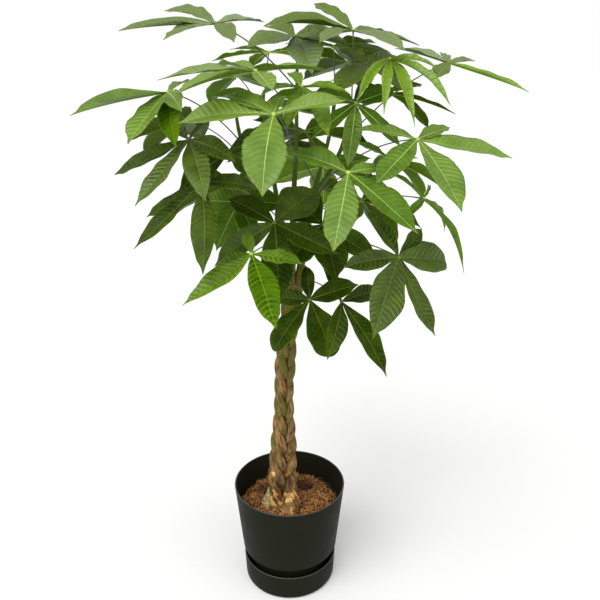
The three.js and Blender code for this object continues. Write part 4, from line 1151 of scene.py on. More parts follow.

# %% [markdown]
# ## Bark
# The stems are young wood under thin bark: brown and corky low down, with olive stretches
# where the green layer shows through, and turning green towards the buds. Higher up the olive
# is also painted shade of the crown. The colours follow each stem, so a map gives each point
# its place round and along its own stem in metres.

# %% Colours and sizes of the bark
BARK_SHINE = 0.2                 # cork scatters most of the shine
PEEL_SLANT = math.radians(35)    # the bark peels off in flakes that slant down to the right
BARK_TONES = {
    "cork": "#463016", "worn cork": "#aa8452", "olive": "#5a581c", "pale mark": "#c8aa6c",
    "crack": "#2a1c08", "green": "#3c5a12", "dirt_and_shadow": "#221808", "rubbed": "#c8b27e",
    "lichen": "#4c4228", "dry lichen": "#ccbc84", "wood": "#c8863e", "dry wood": "#efc684",
    "seam": "#241808"}
LENGTHWISE, CROSSWISE = (1, 1, 0.3), (0.35, 0.35, 1.6)   # patterns stretched along or round a stem
PATCH, CORK_CELL, CROSS_MARK, FLAKE = 36, 6, 2.4, 9      # millimetres
BARK_RELIEF = 0.0006             # metres
print("bark in", len(BARK_TONES), "tones, from", BARK_TONES["cork"], "to", BARK_TONES["dry wood"])

# %% [markdown]
# ### Bark material
# The layers lie as they do on the tree: cork, the olive of the green layer under it, which
# high up is also painted shade of the crown, marks round the stem, young green, dirt and
# painted shadow beside the seams where a strand lies under another, edges that are rubbed pale,
# lichen, and bare wood where the bark has peeled off. Each layer's share comes from a map, from
# a cloudy pattern or from both, so its border is ragged and not drawn with a ruler.

# %% Bark material


def bark_material():
    """Thin corky bark over a green layer. It looks dry, brown and cracked, with pale peeled
    wood and grey lichen at the foot, and it hardly shines."""
    tones = {name: linear(tone) for name, tone in BARK_TONES.items()}
    material, tree, shader = start_material("money_tree_bark", 0.7)
    place = add(tree, COORDINATES).outputs["Object"]
    strand, state = (add(tree, MAP, attribute_name=name).outputs["Vector"]
                     for name in ("strand", "bark_state"))
    young, peeled, mossy = add(tree, SPLIT, (state,)).outputs
    olive, seam, dirty, rubbed = (add(tree, MAP, attribute_name=name).outputs["Fac"]
                                  for name in ("olive", "seam", "dirty", "rubbed"))
    lengthwise, crosswise = (add(tree, "ShaderNodeVectorMath", (strand, stretch), **TIMES)
                             for stretch in (LENGTHWISE, CROSSWISE))
    slanting = add(tree, "ShaderNodeMapping", {"Vector": place, "Rotation": (0, -PEEL_SLANT, 0),
                                               "Scale": (1, 1, 3)}, vector_type="TEXTURE")
    patches, cork, marks, flakes = (
        add(tree, NOISE, {"Vector": way, "Scale": 1 / (size * MM), "Detail": detail, "Roughness": roughness})
        for way, size, detail, roughness in (
            (lengthwise, PATCH, 2, 0.55), (lengthwise, CORK_CELL, 5, 0.65),
            (crosswise, CROSS_MARK, 4, 0.7), (slanting, FLAKE, 3, 0.55)))
    greener = add(tree, MATH, (olive, 0.3, patches), **TIMES_PLUS)
    kept = add(tree, MATH, (1.0, flakes), operation="SUBTRACT")
    crusted = add(tree, MATH, (kept, 1.2, mossy), **TIMES_PLUS)
    lost = add(tree, MATH, (peeled, flakes), operation="ADD")
    steps = {name: add(tree, STEP, row, **SMOOTH) for name, row in {
        "worn": (cork, 0.34, 0.76), "olive": (greener, 0.61, 0.69, 0.0, 0.85),
        "pale": (marks, 0.56, 0.68, 0.0, 0.5), "crack": (marks, 0.42, 0.32, 0.0, 0.45),
        "off_seam": (seam, 0.6, 0.2, 0.0, 0.75), "lichen": (crusted, 1.0, 1.3, 0.0, 0.85),
        "dry_lichen": (marks, 0.42, 0.58), "bare": (lost, 0.98, 1.03), "dry_wood": (cork, 0.3, 0.7),
    }.items()}
    greened, dirt_and_shadow, edges, seams = (add(tree, MATH, pair, **TIMES) for pair in (
        (young, 0.92), (dirty, 0.8), (rubbed, steps["off_seam"]), (seam, 0.85)))
    lichen = add(tree, MIX, {0: steps["dry_lichen"], 6: tones["lichen"], 7: tones["dry lichen"]}, **COLOUR)
    wood = add(tree, MIX, {0: steps["dry_wood"], 6: tones["wood"], 7: tones["dry wood"]}, **COLOUR)
    # the dirt layer beside the seams is partly painted shadow, and high up the olive is partly painted shade
    bark = tones["cork"]
    for share, layer in (
            (steps["worn"], tones["worn cork"]), (steps["olive"], tones["olive"]),
            (steps["pale"], tones["pale mark"]), (steps["crack"], tones["crack"]),
            (greened, tones["green"]), (dirt_and_shadow, tones["dirt_and_shadow"]), (edges, tones["rubbed"]),
            (steps["lichen"], lichen), (steps["bare"], wood), (seams, tones["seam"])):
        bark = add(tree, MIX, {0: share, 6: bark, 7: layer}, **COLOUR)
    relief = add(tree, MATH, (marks, 0.8, cork), **TIMES_PLUS)
    relief = add(tree, MATH, (steps["bare"], -0.6, relief), **TIMES_PLUS)
    wire(tree, shader, {
        "Base Color": bark, "Specular IOR Level": BARK_SHINE,
        "Normal": add(tree, BUMP, {"Height": relief, "Distance": BARK_RELIEF, "Strength": 1.0})})
    return material


BARK_LOOK = bark_material()
print("bark material:", BARK_LOOK.name)

# %% [markdown]
# ## Plaited stems
# Where two plaited stems press on each other they have grown flat. So each ring round a stem
# is a circle that stops half way to each neighbour, with the corner rounded. The same rule
# made the solids, with six sides and a wide gap. Here it runs with many sides, close
# together, so that the seams are thin and dark, as on the real trunk.

# %% Sizes of the fine stems
FINE_SHARE = 1.1                 # radius of the fine stems over the solids', in the plait
FOOT_FLARES = (2.35, 1.6, 1.6, 1.4, 1.4)  # and at the soil, where they spread and meet
FLARE_TOP, FLARE_HEIGHT = 234, 56
PRESSED_GAP = 0.35
STEM_SIDES = 48
CORNER_SOFTNESS = 0.9            # millimetres over which a pressed edge is rounded
EDGE_ROOM = 3.0                  # clearance at which the edge beside a seam starts
OVERLAP = 3.0                    # millimetres further out that a strand lies wholly over the next
GROWN_TOGETHER = 2.6             # millimetres that the feet have grown into each other
BRAID_STEP, SHOOT_STEP = 2.2, 5
PEELING = (0.46, 0.1, 0.5, 0.2, 0.3)     # how far each stem's foot has lost its bark
OLIVE_BARK = (0.2, 0.9, 0.8, 0.1, 0.7)   # and how much green shows through its bark
MOSSING = (0.15, 0.9, 0.2, 0.3, 0.3)     # and how grey with lichen it is
CUT_SPOT = (-36, 266)            # across and up: where a side shoot was cut off
print("the feet spread to", [round(FOOT_RADIUS * flare, 1) for flare in FOOT_FLARES], "mm")

# %% [markdown]
# ### Swellings and lumps
# A stem isn't a plain rod. It swells where a leaf leaves it, keeps a low scar where one fell,
# spreads at its foot and is lumpy all over. All of this is added to its radius.

# %% Swellings and lumps of a stem


def soft_least(first, second, k):
    """The smaller of two lengths, rounded over a length k where they cross."""
    h = np.clip(0.5 + 0.5 * (second - first) / k, 0, 1)
    return second * (1 - h) + first * h - k * h * (1 - h)


def trunk_axis(z):
    """The middle of the whole trunk at each height."""
    return np.stack([along(TRUNK, z, 1), np.zeros_like(z)], axis=-1)


def stem_levels(stem):
    """Heights of the rings: close together in the plait, further apart above it."""
    return np.concatenate([np.arange(ROOT_END, BRAID_LOOSE, BRAID_STEP),
                           np.linspace(BRAID_LOOSE, shoot_end(stem), int(350 / SHOOT_STEP))])


def lump_noise(points, size):
    """Smooth noise at points in millimetres, with lumps of about one size."""
    heights = [noise.noise(Vector(p) / size) for p in points.reshape(-1, 3)]
    return np.array(heights).reshape(points.shape[:-1])


def leaf_scars(stem, z):
    """Swellings where a leaf leaves the stem, and scars where old ones fell."""
    live = [leaf["at"] for leaf in ALL_LEAVES if leaf["stem"] == stem]
    fallen = np.arange(BRAID_LOOSE + 12 * stem, shoot_end(stem), 47)
    bulge = np.zeros_like(z)
    for height in live:
        bulge += 0.8 * np.exp(-((z - height) / 5) ** 2)
    for height in fallen:
        bulge += 0.5 * np.exp(-((z - height) / 2.2) ** 2)
    return bulge


def fine_radius(stem, z):
    """The radius of the fine stem before its neighbours press on it."""
    plaited = smooth((BRAID_LOOSE - z) / 60)
    flare = 1 + (FOOT_FLARES[stem] / FINE_SHARE - 1) * smooth((FLARE_TOP - z) / FLARE_HEIGHT)
    return stem_radius(stem, z) * (1 + (FINE_SHARE - 1) * plaited) * flare + leaf_scars(stem, z)


print("stem_1 has a radius of", round(float(fine_radius(0, np.array([400.0]))[0]), 1), "mm in the plait")

# %% [markdown]
# ### One stem
# Each neighbour sets a limit to how far the ring may reach towards it. Where the limit is
# closer than the stem is thick, the bark is pressed flat and a seam forms. Beside a seam,
# the strand that lies over the other is rubbed pale, and the one under it is darker: partly
# dirt, partly painted shadow of the strand over it.

# %% Form of one stem


def make_stem(stem):
    """One stem from its root end to its bud, in one piece."""
    z = stem_levels(stem)
    middle = stem_middle(stem, z)
    plaited = smooth((BRAID_LOOSE - z) / 60)
    radius = fine_radius(stem, z)
    angle = np.linspace(0, 2 * np.pi, STEM_SIDES, endpoint=False)[None, :]
    reach = radius[:, None] * np.ones_like(angle)
    rubbed, dirty = np.zeros_like(reach), np.zeros_like(reach)
    out = np.linalg.norm(middle - trunk_axis(z), axis=1)
    foot = smooth((FLARE_TOP - z) / FLARE_HEIGHT)[:, None]
    gap = PRESSED_GAP - GROWN_TOGETHER * foot
    for other in range(STEM_COUNT):
        if other == stem:
            continue
        away = stem_middle(other, z) - middle
        distance = np.linalg.norm(away, axis=1)[:, None]
        facing = (np.cos(angle) * away[:, :1] + np.sin(angle) * away[:, 1:]) / distance
        own_share = (radius / (radius + fine_radius(other, z)))[:, None]
        limit = np.where(facing > 0.02, (distance * own_share - gap) / np.maximum(facing, 0.02), 1e3)
        reach = soft_least(reach, limit, CORNER_SOFTNESS * (1 + 3 * foot))
        beside = smooth(1 - (limit - radius[:, None]) / EDGE_ROOM) * plaited[:, None] * (1 - foot)
        other_out = np.linalg.norm(stem_middle(other, z) - trunk_axis(z), axis=1)
        # beside a seam the strand under another is darkened: partly dirt, partly painted shadow
        covered = smooth(0.5 + (other_out - out) / OVERLAP)[:, None]
        rubbed = np.maximum(rubbed, beside * (1 - covered))
        dirty = np.maximum(dirty, beside * covered)
    seam = smooth((radius[:, None] - reach) / 1.2 - 0.1) * plaited[:, None] * (1 - 0.85 * foot)
    strand = np.stack([8 * np.cos(angle) * np.ones_like(reach), 8 * np.sin(angle) * np.ones_like(reach),
                       z[:, None] * np.ones_like(reach) + 400 * stem], axis=2)
    lumps = lump_noise(strand * (1, 1, 0.45), 9) * 0.5 + lump_noise(strand * (0.6, 0.6, 1.5), 3.2) * 0.22
    thin = np.clip(radius[:, None] / 8, 0.15, 1)
    reach = reach + lumps * thin * (1 - 0.8 * seam)
    rings = np.stack([middle[:, :1] + reach * np.cos(angle), middle[:, 1:] + reach * np.sin(angle),
                      z[:, None] * np.ones_like(reach)], axis=2)
    tip = np.array([*stem_middle(stem, shoot_end(stem)), shoot_end(stem) + 6.5])
    return rings, tip, strand, seam, rubbed, dirty


def bark_state(stem, rings):
    """How young, how peeled and how mossy the bark is at each point."""
    x, y, z = rings[..., 0], rings[..., 1], rings[..., 2]
    young = smooth((z - 680) / 170)
    front = smooth((-12 - y) / 8)
    peeled = PEELING[stem] * smooth((z - 178) / 8) * smooth((258 - z) / 40) * front
    spot = np.exp(-(((x - CUT_SPOT[0]) / 8) ** 2 + ((z - CUT_SPOT[1]) / 15) ** 2))
    peeled = np.maximum(peeled, spot * (y < 0) * 0.62)
    mossy = MOSSING[stem] * smooth((245 - z) / 30)
    return np.stack([young, peeled, mossy], axis=2)


print("the bark is young above 680 mm and peels under 258 mm")

# %% [markdown]
# ### Build the stems
# The maps carry what the bark material reads, and two more say where pores and lichen grow.

# %% Build the stems
stem_pieces = []
for stem in range(STEM_COUNT):
    rings, tip, strand, seam, rubbed, dirty = make_stem(stem)
    state = bark_state(stem, rings).reshape(-1, 3)
    up = rings[..., 2].ravel()
    # above 430 mm olive grows all round: partly green bark, partly painted shade of the crown
    olive = OLIVE_BARK[stem] * smooth((up - 310) / 40) + 0.45 * smooth((up - 430) / 140)
    above_soil = smooth((rings[..., 2] - SOIL_EDGE_HEIGHT) / 5).ravel()
    maps = {"strand": np.vstack([strand.reshape(-1, 3), strand[-1, 0]]) * MM,
            "bark_state": np.vstack([state, state[-1]]), "seam": np.append(seam.ravel(), 0),
            "rubbed": np.append(rubbed.ravel(), 0), "dirty": np.append(dirty.ravel(), 0),
            "pores": np.append(above_soil * (1 - state[:, 0]) * (1 - seam.ravel()), 0),
            "lichen": np.append(above_soil * smooth((state[:, 2] - 0.35) / 0.5), 0),
            "olive": np.append(olive, olive[-1])}
    stem_piece = build(f"stem_{stem + 1}_bark", *skin(rings, tip), maps, [BARK_LOOK])
    dress(stem_piece, "bark", f"stem_{stem + 1}")
    stem_pieces.append(stem_piece)

# %% [markdown]
# ## Pores and lichen on the bark
# Bark breathes through small corky pores that stand out of it, and the foot at the left is
# crusted with grey lichen. Both are bits strewn over a surface, so one Geometry Nodes tree
# serves for them and, further down, for the potting mix. It reads from a map on the mesh
# where the bits are. Texture alone would colour them, but wouldn't break up the outline.

# %% Shapes to strew


def fibre_shape(tree, bend, twist):
    """One bent fibre of length one, as a mesh with four sides."""
    line = add(tree, "GeometryNodeCurvePrimitiveBezierSegment",
               {"Resolution": 5, "Start": (-0.5, 0, 0), "Start Handle": (-0.2, bend, twist),
                "End Handle": (0.2, -bend, 0.5 * twist), "End": (0.5, 0.3 * bend, 0)}).outputs[0]
    section = add(tree, "GeometryNodeCurvePrimitiveCircle", {"Resolution": 4, "Radius": 0.03}).outputs[0]
    return add(tree, "GeometryNodeCurveToMesh",
               {"Curve": line, "Profile Curve": section, "Fill Caps": True}).outputs[0]


def crumb_shape(tree, stretch):
    """One angular crumb, about one across."""
    ball = add(tree, "GeometryNodeMeshIcoSphere", {"Radius": 0.5, "Subdivisions": 1}).outputs[0]
    return add(tree, "GeometryNodeTransform", {"Geometry": ball, "Scale": stretch}).outputs[0]


def crumbs(*stretches):
    """A maker of crumb shapes, one for each stretch."""
    return lambda tree: [crumb_shape(tree, stretch) for stretch in stretches]


def fibres(*bends):
    """A maker of fibre shapes, one for each pair of bend and twist."""
    return lambda tree: [fibre_shape(tree, *bend) for bend in bends]


print("a crumb starts as a ball of 20 faces, a fibre as a bent line")

# %% [markdown]
# ### The tree that strews
# Points are spread over the mesh as closely as a map says, each gets one of the shapes, a
# lean, a turn and a size, and the copies are then made real. Its inputs have names, so the
# closeness, the sizes and the seed of each kind can be turned without a look inside.

# %% The tree that strews


def strewing_tree(name, shapes, where, tilt):
    """Geometry Nodes: copies of a few shapes over a mesh, as close as the attribute called
    where says. Each stands on the surface, leans by tilt radians at most and is turned freely."""
    tree = bpy.data.node_groups.new(name, "GeometryNodeTree")
    face = tree.interface
    face.new_socket("Geometry", in_out="INPUT", socket_type="NodeSocketGeometry")
    for label, kind in (("Per Square Metre", "Float"), ("Smallest", "Float"), ("Largest", "Float"),
                        ("Seed", "Int"), ("Look", "Material")):
        face.new_socket(label, in_out="INPUT", socket_type="NodeSocket" + kind)
    face.new_socket("Geometry", in_out="OUTPUT", socket_type="NodeSocketGeometry")
    start = add(tree, "NodeGroupInput").outputs
    share = add(tree, "GeometryNodeInputNamedAttribute", {"Name": where}, data_type="FLOAT")
    density = add(tree, MATH, (share, start["Per Square Metre"]), **TIMES)
    spread = add(tree, "GeometryNodeDistributePointsOnFaces",
                 {"Mesh": start[0], "Density": density, "Seed": start["Seed"]}).outputs
    choices = add(tree, "GeometryNodeGeometryToInstance")
    for shape in shapes(tree):
        tree.links.new(shape, choices.inputs[0])
    lean = add(tree, "FunctionNodeRandomValue",
               {0: (-tilt, -tilt, -math.pi), 1: (tilt, tilt, math.pi), "Seed": start["Seed"]},
               data_type="FLOAT_VECTOR").outputs[0]
    turn = add(tree, "FunctionNodeRotateRotation", {0: spread["Rotation"], 1: lean},
               rotation_space="LOCAL").outputs[0]
    size = add(tree, "FunctionNodeRandomValue", {"Min": start["Smallest"], "Max": start["Largest"],
                                                 "Seed": start["Seed"]}, data_type="FLOAT")
    copies = add(tree, "GeometryNodeInstanceOnPoints",
                 {"Points": spread[0], "Instance": choices.outputs[0], "Pick Instance": True,
                  "Rotation": turn, "Scale": size.outputs[1]}).outputs[0]
    shade = add(tree, "FunctionNodeRandomValue", {"Seed": start["Seed"]}, data_type="FLOAT")
    copies = add(tree, "GeometryNodeStoreNamedAttribute",
                 {"Geometry": copies, "Name": "shade", "Value": shade.outputs[1]},
                 data_type="FLOAT", domain="INSTANCE").outputs[0]
    solid = add(tree, "GeometryNodeRealizeInstances", {"Geometry": copies}).outputs[0]
    solid = add(tree, "GeometryNodeSetMaterial", {"Geometry": solid, "Material": start["Look"]}).outputs[0]
    add(tree, "NodeGroupOutput", {0: solid})
    return tree


def strew(name, ground, tree, closeness, sizes, seed, look, slot, node):
    """Small bits strewn over another piece, which ride as it does: so many to a square metre,
    from the smallest to the largest size in millimetres."""
    piece = bpy.data.objects.new(name, ground.data.copy())
    bpy.context.scene.collection.objects.link(piece)
    run_tree(piece, tree, {"Per Square Metre": closeness, "Smallest": sizes[0] * MM,
                           "Largest": sizes[1] * MM, "Seed": seed, "Look": look})
    dress(piece, slot, node)


PORE_TREE = strewing_tree("strew_pores", crumbs((1.5, 0.7, 0.35), (1, 1, 0.35)), "pores", 0.15)
LICHEN_TREE = strewing_tree("strew_lichen", crumbs((1, 0.8, 0.3), (0.7, 1.1, 0.4)), "lichen", 0.5)
print("trees:", PORE_TREE.name, LICHEN_TREE.name)

# %% [markdown]
# ### Pores and lichen
# Pores are flat corky blisters a millimetre long, thinly spread where the bark isn't young.
# Lichen is a dense crust of bits of all sizes. Each bit has a shade of its own, so the crust
# looks dry and crumbly and not like paint.

# %% Strew pores and lichen
PORES_CLOSE, PORE_SIZES = 10000.0, (0.6, 1.6)            # to a square metre, and millimetres
LICHEN_CLOSE, LICHEN_SIZES = 120000.0, (1, 3.4)


def crust_material(name, dark, light):
    """Dry crumbly growth on the bark, each bit in its own shade and without any shine."""
    material, tree, shader = start_material(name, 0.9)
    own = add(tree, MAP, attribute_name="shade").outputs["Fac"]
    wire(tree, shader, {"Base Color": add(tree, MIX, {0: own, 6: linear(dark), 7: linear(light)}, **COLOUR)})
    return material


PORE_LOOK = crust_material("corky_pores", "#8c6c3c", "#dcc08a")
LICHEN_LOOK = crust_material("grey_lichen", "#3e341e", "#e2d29c")
for stem, piece in enumerate(stem_pieces):
    strew(f"stem_{stem + 1}_pores", piece, PORE_TREE, PORES_CLOSE, PORE_SIZES, stem, PORE_LOOK,
          "bark", f"stem_{stem + 1}")
strew("stem_2_lichen", stem_pieces[1], LICHEN_TREE, LICHEN_CLOSE, LICHEN_SIZES, 3, LICHEN_LOOK,
      "bark", "stem_2")

# %% [markdown]
# ## Pot and saucer
# Both are injection-moulded polypropylene in anthracite: matt, with a very fine sparked grain
# from the steel mould, and smooth rounded lips that catch a thin line of light, which is also
# painted on them as a painted highlight. They are outlines turned round the axis, with arcs at
# the corners.

# %% Plastic material
GRAIN_SHINE, LIP_SHINE = 0.06, 0.9    # the grain scatters the shine that the smooth lips keep
PLASTIC_CLOUD = 50               # millimetres, of the faint unevenness of the surface
SPARK = 0.9                      # millimetres: real sparks are too fine to show, so it is this coarse
SPARK_DEPTH = 0.00004            # metres


def plastic_material():
    """Polypropylene moulded in a sparked steel mould. It looks near black, warm and even, with
    a dull sheen and a thin line of light on the lips, partly their shine and partly a painted
    highlight."""
    material, tree, shader = start_material("moulded_polypropylene", 0.5, 1.49)
    lip = add(tree, MAP, attribute_name="lip").outputs["Fac"]
    place = add(tree, COORDINATES).outputs["Object"]
    clouds, sparks = (
        add(tree, NOISE, {"Vector": place, "Scale": 1 / (size * MM), "Detail": detail, "Roughness": 0.55})
        for size, detail in ((PLASTIC_CLOUD, 3), (SPARK, 2)))
    colour = linear("#16170d")
    # the lips get a lighter colour, #3a3b34: a painted highlight beside their real shine
    for share, layer in ((clouds, "#1d1e13"), (add(tree, MATH, (lip, 0.8), **TIMES), "#3a3b34")):
        colour = add(tree, MIX, {0: share, 6: colour, 7: linear(layer)}, **COLOUR)
    wire(tree, shader, {
        "Base Color": colour,
        "Specular IOR Level": add(tree, STEP, (lip, 0.2, 1.0, GRAIN_SHINE, LIP_SHINE), **SMOOTH),
        "Roughness": add(tree, STEP, (clouds, 0.3, 0.7, 0.46, 0.56), **SMOOTH),
        "Normal": add(tree, BUMP, {"Height": sparks, "Distance": SPARK_DEPTH, "Strength": 1.0})})
    return material


PLASTIC_LOOK = plastic_material()
print("plastic material:", PLASTIC_LOOK.name)

# %% [markdown]
# ### Outlines turned round the axis
# Pot and saucer are round, so an outline of radius and height is all that they need. A screw
# modifier would turn it too, but here the same rings and skin serve for everything. Moulded
# plastic has no sharp corner, so corners become arcs of their own radius. Only the pot's two
# inner corners under the mix are square, as in the solid, so that the mix fits into them.

# %% Build the pot and the saucer
ROUND_SIDES = 128
GAP = 0.3
SAUCER_TOP_RADIUS, SAUCER_FOOT_RADIUS, SAUCER_HEIGHT = 102.4, 99.3, 59
SAUCER_EDGE, SAUCER_FLOOR = 8, 4
POT_RIM_RADIUS, POT_RIM_HEIGHT = 120, 235
POT_SKIRT_RADIUS, POT_SKIRT_HEIGHT = 104, 80
POT_FOOT_RADIUS, WALL = 88, 3
POT_BASE = SAUCER_FLOOR + GAP
STEP_INNER_HEIGHT = POT_SKIRT_HEIGHT + WALL
LIP_HEIGHT = 1.6                 # how far down a lip is smooth


def rounded(outline, steps=5):
    """An outline whose corners are arcs. Its rows are radius, height and the arc's radius."""
    corners = np.array(outline, float)
    places = corners[:, :2]
    result = []
    for i, (place, size) in enumerate(zip(places, corners[:, 2])):
        if size == 0:
            result.append(place)
            continue
        to_last, to_next = unit(places[i - 1] - place), unit(places[(i + 1) % len(places)] - place)
        half = math.acos(np.clip(to_last @ to_next, -1, 1)) / 2
        middle = place + unit(to_last + to_next) * size / math.sin(half)
        start, end = place + to_last * size / math.tan(half), place + to_next * size / math.tan(half)
        first, second = start - middle, end - middle
        for share in np.linspace(0, 1, steps + 1):
            result.append(middle + size * unit(first * (1 - share) + second * share))
    return result


def turn_piece(name, outline, slot, look):
    """A closed turned piece. Its outline starts and ends near the axis."""
    rings = lathe(rounded(outline), ROUND_SIDES)
    lip = smooth((rings[..., 2].ravel() - rings[..., 2].max() + LIP_HEIGHT) / LIP_HEIGHT)
    piece = build(name + "_moulded", *skin(rings), {"lip": lip}, [look])
    piece.data.set_sharp_from_angle(angle=math.radians(40))
    dress(piece, slot, name)
    return piece


SAUCER_SLOPE = (SAUCER_TOP_RADIUS - SAUCER_FOOT_RADIUS) / SAUCER_HEIGHT
turn_piece("saucer", [
    (0.5, 0, 0), (SAUCER_FOOT_RADIUS, 0, SAUCER_EDGE), (SAUCER_TOP_RADIUS, SAUCER_HEIGHT, 1.3),
    (SAUCER_TOP_RADIUS - WALL, SAUCER_HEIGHT, 1.3),
    (SAUCER_FOOT_RADIUS - WALL + SAUCER_FLOOR * SAUCER_SLOPE, SAUCER_FLOOR, 6), (0.5, SAUCER_FLOOR, 0),
][::-1], "plastic", PLASTIC_LOOK)
turn_piece("pot", [
    (0.5, POT_BASE, 0), (POT_FOOT_RADIUS, POT_BASE, 4), (POT_FOOT_RADIUS, POT_SKIRT_HEIGHT, 1),
    (POT_SKIRT_RADIUS, POT_SKIRT_HEIGHT, 2.5), (POT_RIM_RADIUS, POT_RIM_HEIGHT, 1.3),
    (POT_RIM_RADIUS - WALL, POT_RIM_HEIGHT, 1.3), (POT_SKIRT_RADIUS - WALL, STEP_INNER_HEIGHT, 0),
    (POT_FOOT_RADIUS - WALL, STEP_INNER_HEIGHT, 1), (POT_FOOT_RADIUS - WALL, POT_BASE + WALL, 0),
    (0.5, POT_BASE + WALL, 0),
][::-1], "plastic", PLASTIC_LOOK)
print("pot and saucer, with walls of", WALL, "mm")

# %% [markdown]
# ## Potting mix
# The mix is coir: chopped coconut fibre with crumbs of pith. The ground under it is a lumpy
# skin, and Geometry Nodes strew crumbs and short bent fibres over it. Strewing by hand or with
# a particle system would do as well, but the tree gives the same heap in every run and its
# sizes stay inputs that can be turned.

# %% Potting mix materials
COIR_MOTTLE, COIR_SPECK = 4, 0.8         # millimetres
COIR_RELIEF = 0.0004                     # metres
# the colour of the painted shadow on the mix
PAINTED_SHADOW_COIR = "#180a06"


def coir_material(name, dark, light, attribute=None):
    """Chopped coir. It is matt and orange brown, each bit in its own shade, and much darker
    where painted shadow lies in two hollows, so the heap looks loose and deep."""
    material, tree, shader = start_material(name, 0.9)
    place = add(tree, COORDINATES).outputs["Object"]
    shade, specks = (
        add(tree, NOISE, {"Vector": place, "Scale": 1 / (size * MM), "Detail": detail, "Roughness": 0.55})
        for size, detail in ((COIR_MOTTLE, 4), (COIR_SPECK, 3)))
    if attribute:
        own = add(tree, MAP, attribute_name=attribute).outputs["Fac"]
        shade = add(tree, MATH, (own, 0.8, add(tree, MATH, (shade, 0.2), **TIMES)), **TIMES_PLUS)
    dry = add(tree, STEP, (shade, 0.2, 0.9), **SMOOTH)
    # painted shadow in the two hollows
    damp = add(tree, MAP, attribute_name="damp").outputs["Fac"]
    colour = linear(dark)
    for share, layer in ((dry, light), (damp, PAINTED_SHADOW_COIR)):
        colour = add(tree, MIX, {0: share, 6: colour, 7: linear(layer)}, **COLOUR)
    wire(tree, shader, {"Base Color": colour, "Normal": add(
        tree, BUMP, {"Height": specks, "Distance": COIR_RELIEF, "Strength": 1.0})})
    return material


PITH_LOOK = coir_material("coir_pith", "#140804", "#4c2a12")
CRUMB_LOOK = coir_material("coir_crumbs", "#361a0a", "#a86a34", "shade")
CHIP_LOOK = coir_material("coir_chips", "#6a3c18", "#e4b470", "shade")
FIBRE_LOOK = coir_material("coir_fibres", "#5c3010", "#e0a460", "shade")
print("four coir materials")

# %% [markdown]
# ### Ground under the crumbs
# The mix isn't level: it is heaped in a ring, sunk round the stems and sunk deeper in two
# hollows, which are painted darker as painted shadow, with heaps, clumps, crumbs and grit of
# falling size on top. Its own lumps carry the large forms, and only what is smaller is
# strewn, so the heap never looks like a flat carpet.

# %% Ground under the crumbs
SOIL_MOUND, MOUND_SLOPE, SOIL_LUMP = 9, 1.6, 3.5
SOIL_SIDES, SOIL_RINGS = 224, 96
LUMPS = ((24, 9), (11, 8), (5, 4), (2, 1))        # size and height of heaps, clumps, crumbs and grit
RIDGE_RADIUS, RIDGE_HEIGHT = 76, 6               # the mix is heaped up in a ring
HOLLOW_RADIUS, HOLLOW_DEPTH, RING_SPREAD = 44, 6, 15     # and has sunk round the stems
SHADED_HOLLOWS = ((-60, 32, 22), (34, 56, 20))       # across, away and radius of two hollows, painted darker with painted shadow
PAINTED_SHADOW_DARKNESS, HOLLOW_SINK = 0.75, 4    # how dark the painted shadow in those hollows is, and how deep they are in millimetres
STREWN_INSIDE = 7                # what is strewn keeps this far from the pot's wall
POT_SLOPE = (POT_RIM_RADIUS - POT_SKIRT_RADIUS) / (POT_RIM_HEIGHT - POT_SKIRT_HEIGHT)
SOIL_EDGE = POT_SKIRT_RADIUS + (SOIL_EDGE_HEIGHT - POT_SKIRT_HEIGHT) * POT_SLOPE - WALL - GAP


def soil_height(x, y):
    """The height of the ground: the solid's own mound and lumps, with a ridge and a hollow."""
    inward = 1 - np.hypot(x, y) / SOIL_EDGE
    broad = np.sin(x / 13 + 1.3) * np.cos(y / 11 - 0.4)
    fine = np.sin(x / 6.1 - y / 7.3 + 2)
    mound = SOIL_MOUND * smooth(inward * MOUND_SLOPE)
    solid = SOIL_EDGE_HEIGHT + mound + SOIL_LUMP * (0.7 * broad + 0.3 * fine)
    from_axis = np.hypot(x, y)
    ridge = RIDGE_HEIGHT * np.exp(-((from_axis - RIDGE_RADIUS) / RING_SPREAD) ** 2)
    hollow = HOLLOW_DEPTH * np.exp(-((from_axis - HOLLOW_RADIUS) / RING_SPREAD) ** 2)
    sunk = sum(HOLLOW_SINK * np.exp(-(np.hypot(x - a, y - b) / r) ** 2) for a, b, r in SHADED_HOLLOWS)
    return solid + ridge - hollow - sunk


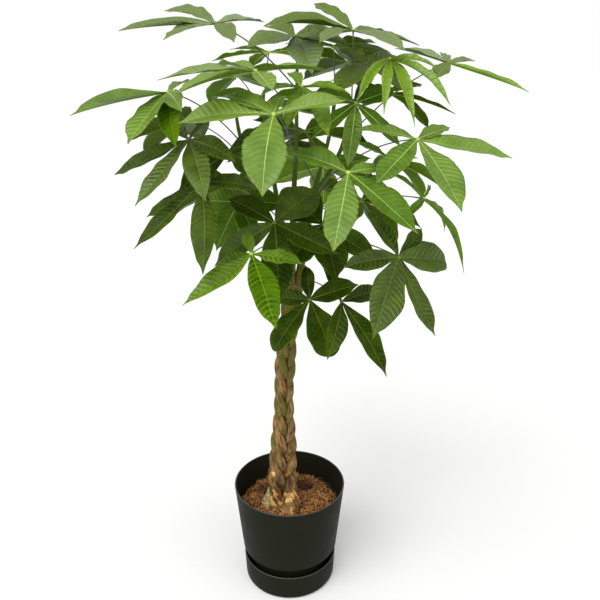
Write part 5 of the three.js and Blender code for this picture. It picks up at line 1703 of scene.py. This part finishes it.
def make_ground():
    """The closed body of the mix, with a finely lumped top."""
    under = POT_FOOT_RADIUS - WALL - GAP
    shares = np.linspace(0.99, 0.004, SOIL_RINGS)
    floor, step = POT_BASE + WALL + GAP, STEP_INNER_HEIGHT + GAP
    outline = [(0.4, floor), (under, floor), (under, step), (POT_SKIRT_RADIUS - WALL - GAP, step),
               (SOIL_EDGE, SOIL_EDGE_HEIGHT - 1)]
    rings = lathe(outline + [(SOIL_EDGE * share, SOIL_EDGE_HEIGHT) for share in shares], SOIL_SIDES)
    top = rings[len(outline):]
    top[..., 2] = soil_height(top[..., 0], top[..., 1])
    flat = top * (1, 1, 0)
    top[..., 2] += sum(height * lump_noise(flat + size, size) for size, height in LUMPS)
    inside = np.hypot(rings[..., 0], rings[..., 1]) < SOIL_EDGE - STREWN_INSIDE
    inside[:len(outline)] = False
    # two hollows are painted darker: painted shadow
    damp = sum(np.exp(-(np.hypot(rings[..., 0] - x, rings[..., 1] - y) / radius) ** 2)
               for x, y, radius in SHADED_HOLLOWS)
    maps = {"top": inside.ravel().astype(float), "damp": PAINTED_SHADOW_DARKNESS * damp.ravel()}
    piece = build("potting_mix", *skin(rings), maps, [PITH_LOOK])
    dress(piece, "soil", "soil")
    return piece


ground = make_ground()

# %% [markdown]
# ### Crumbs and fibres
# Four kinds of bits lie on the ground: long bent fibres, tufts that stand up, small crumbs
# and flat chips. Each kind has its own closeness and sizes, since a real mix has a few
# large bits and very many small ones.

# %% Strew crumbs and fibres
FIBRE_TREE = strewing_tree("strew_fibres", fibres((0.22, 0.16), (-0.12, 0.3), (0.35, 0.1)), "top", 0.7)
CRUMB_TREE = strewing_tree("strew_crumbs", crumbs((1, 0.7, 0.6), (0.8, 1, 0.5), (1.3, 0.5, 0.5)),
                           "top", math.pi)
TUFT_TREE = strewing_tree("strew_tufts", fibres((0.3, 0.3), (-0.25, 0.4)), "top", 1.5)
CHIP_TREE = strewing_tree("strew_chips", crumbs((1, 0.5, 0.25), (0.8, 0.6, 0.3)), "top", 0.8)
for name, tree, closeness, sizes, seed, look in (
        ("coir_fibres", FIBRE_TREE, 52000.0, (6, 16), 5, FIBRE_LOOK),
        ("coir_tufts", TUFT_TREE, 16000.0, (10, 22), 7, FIBRE_LOOK),
        ("coir_crumbs", CRUMB_TREE, 100000.0, (1.4, 4.6), 9, CRUMB_LOOK),
        ("coir_chips", CHIP_TREE, 12000.0, (4, 9), 2, CHIP_LOOK)):
    strew(name, ground, tree, closeness, sizes, seed, look, "soil", "soil")
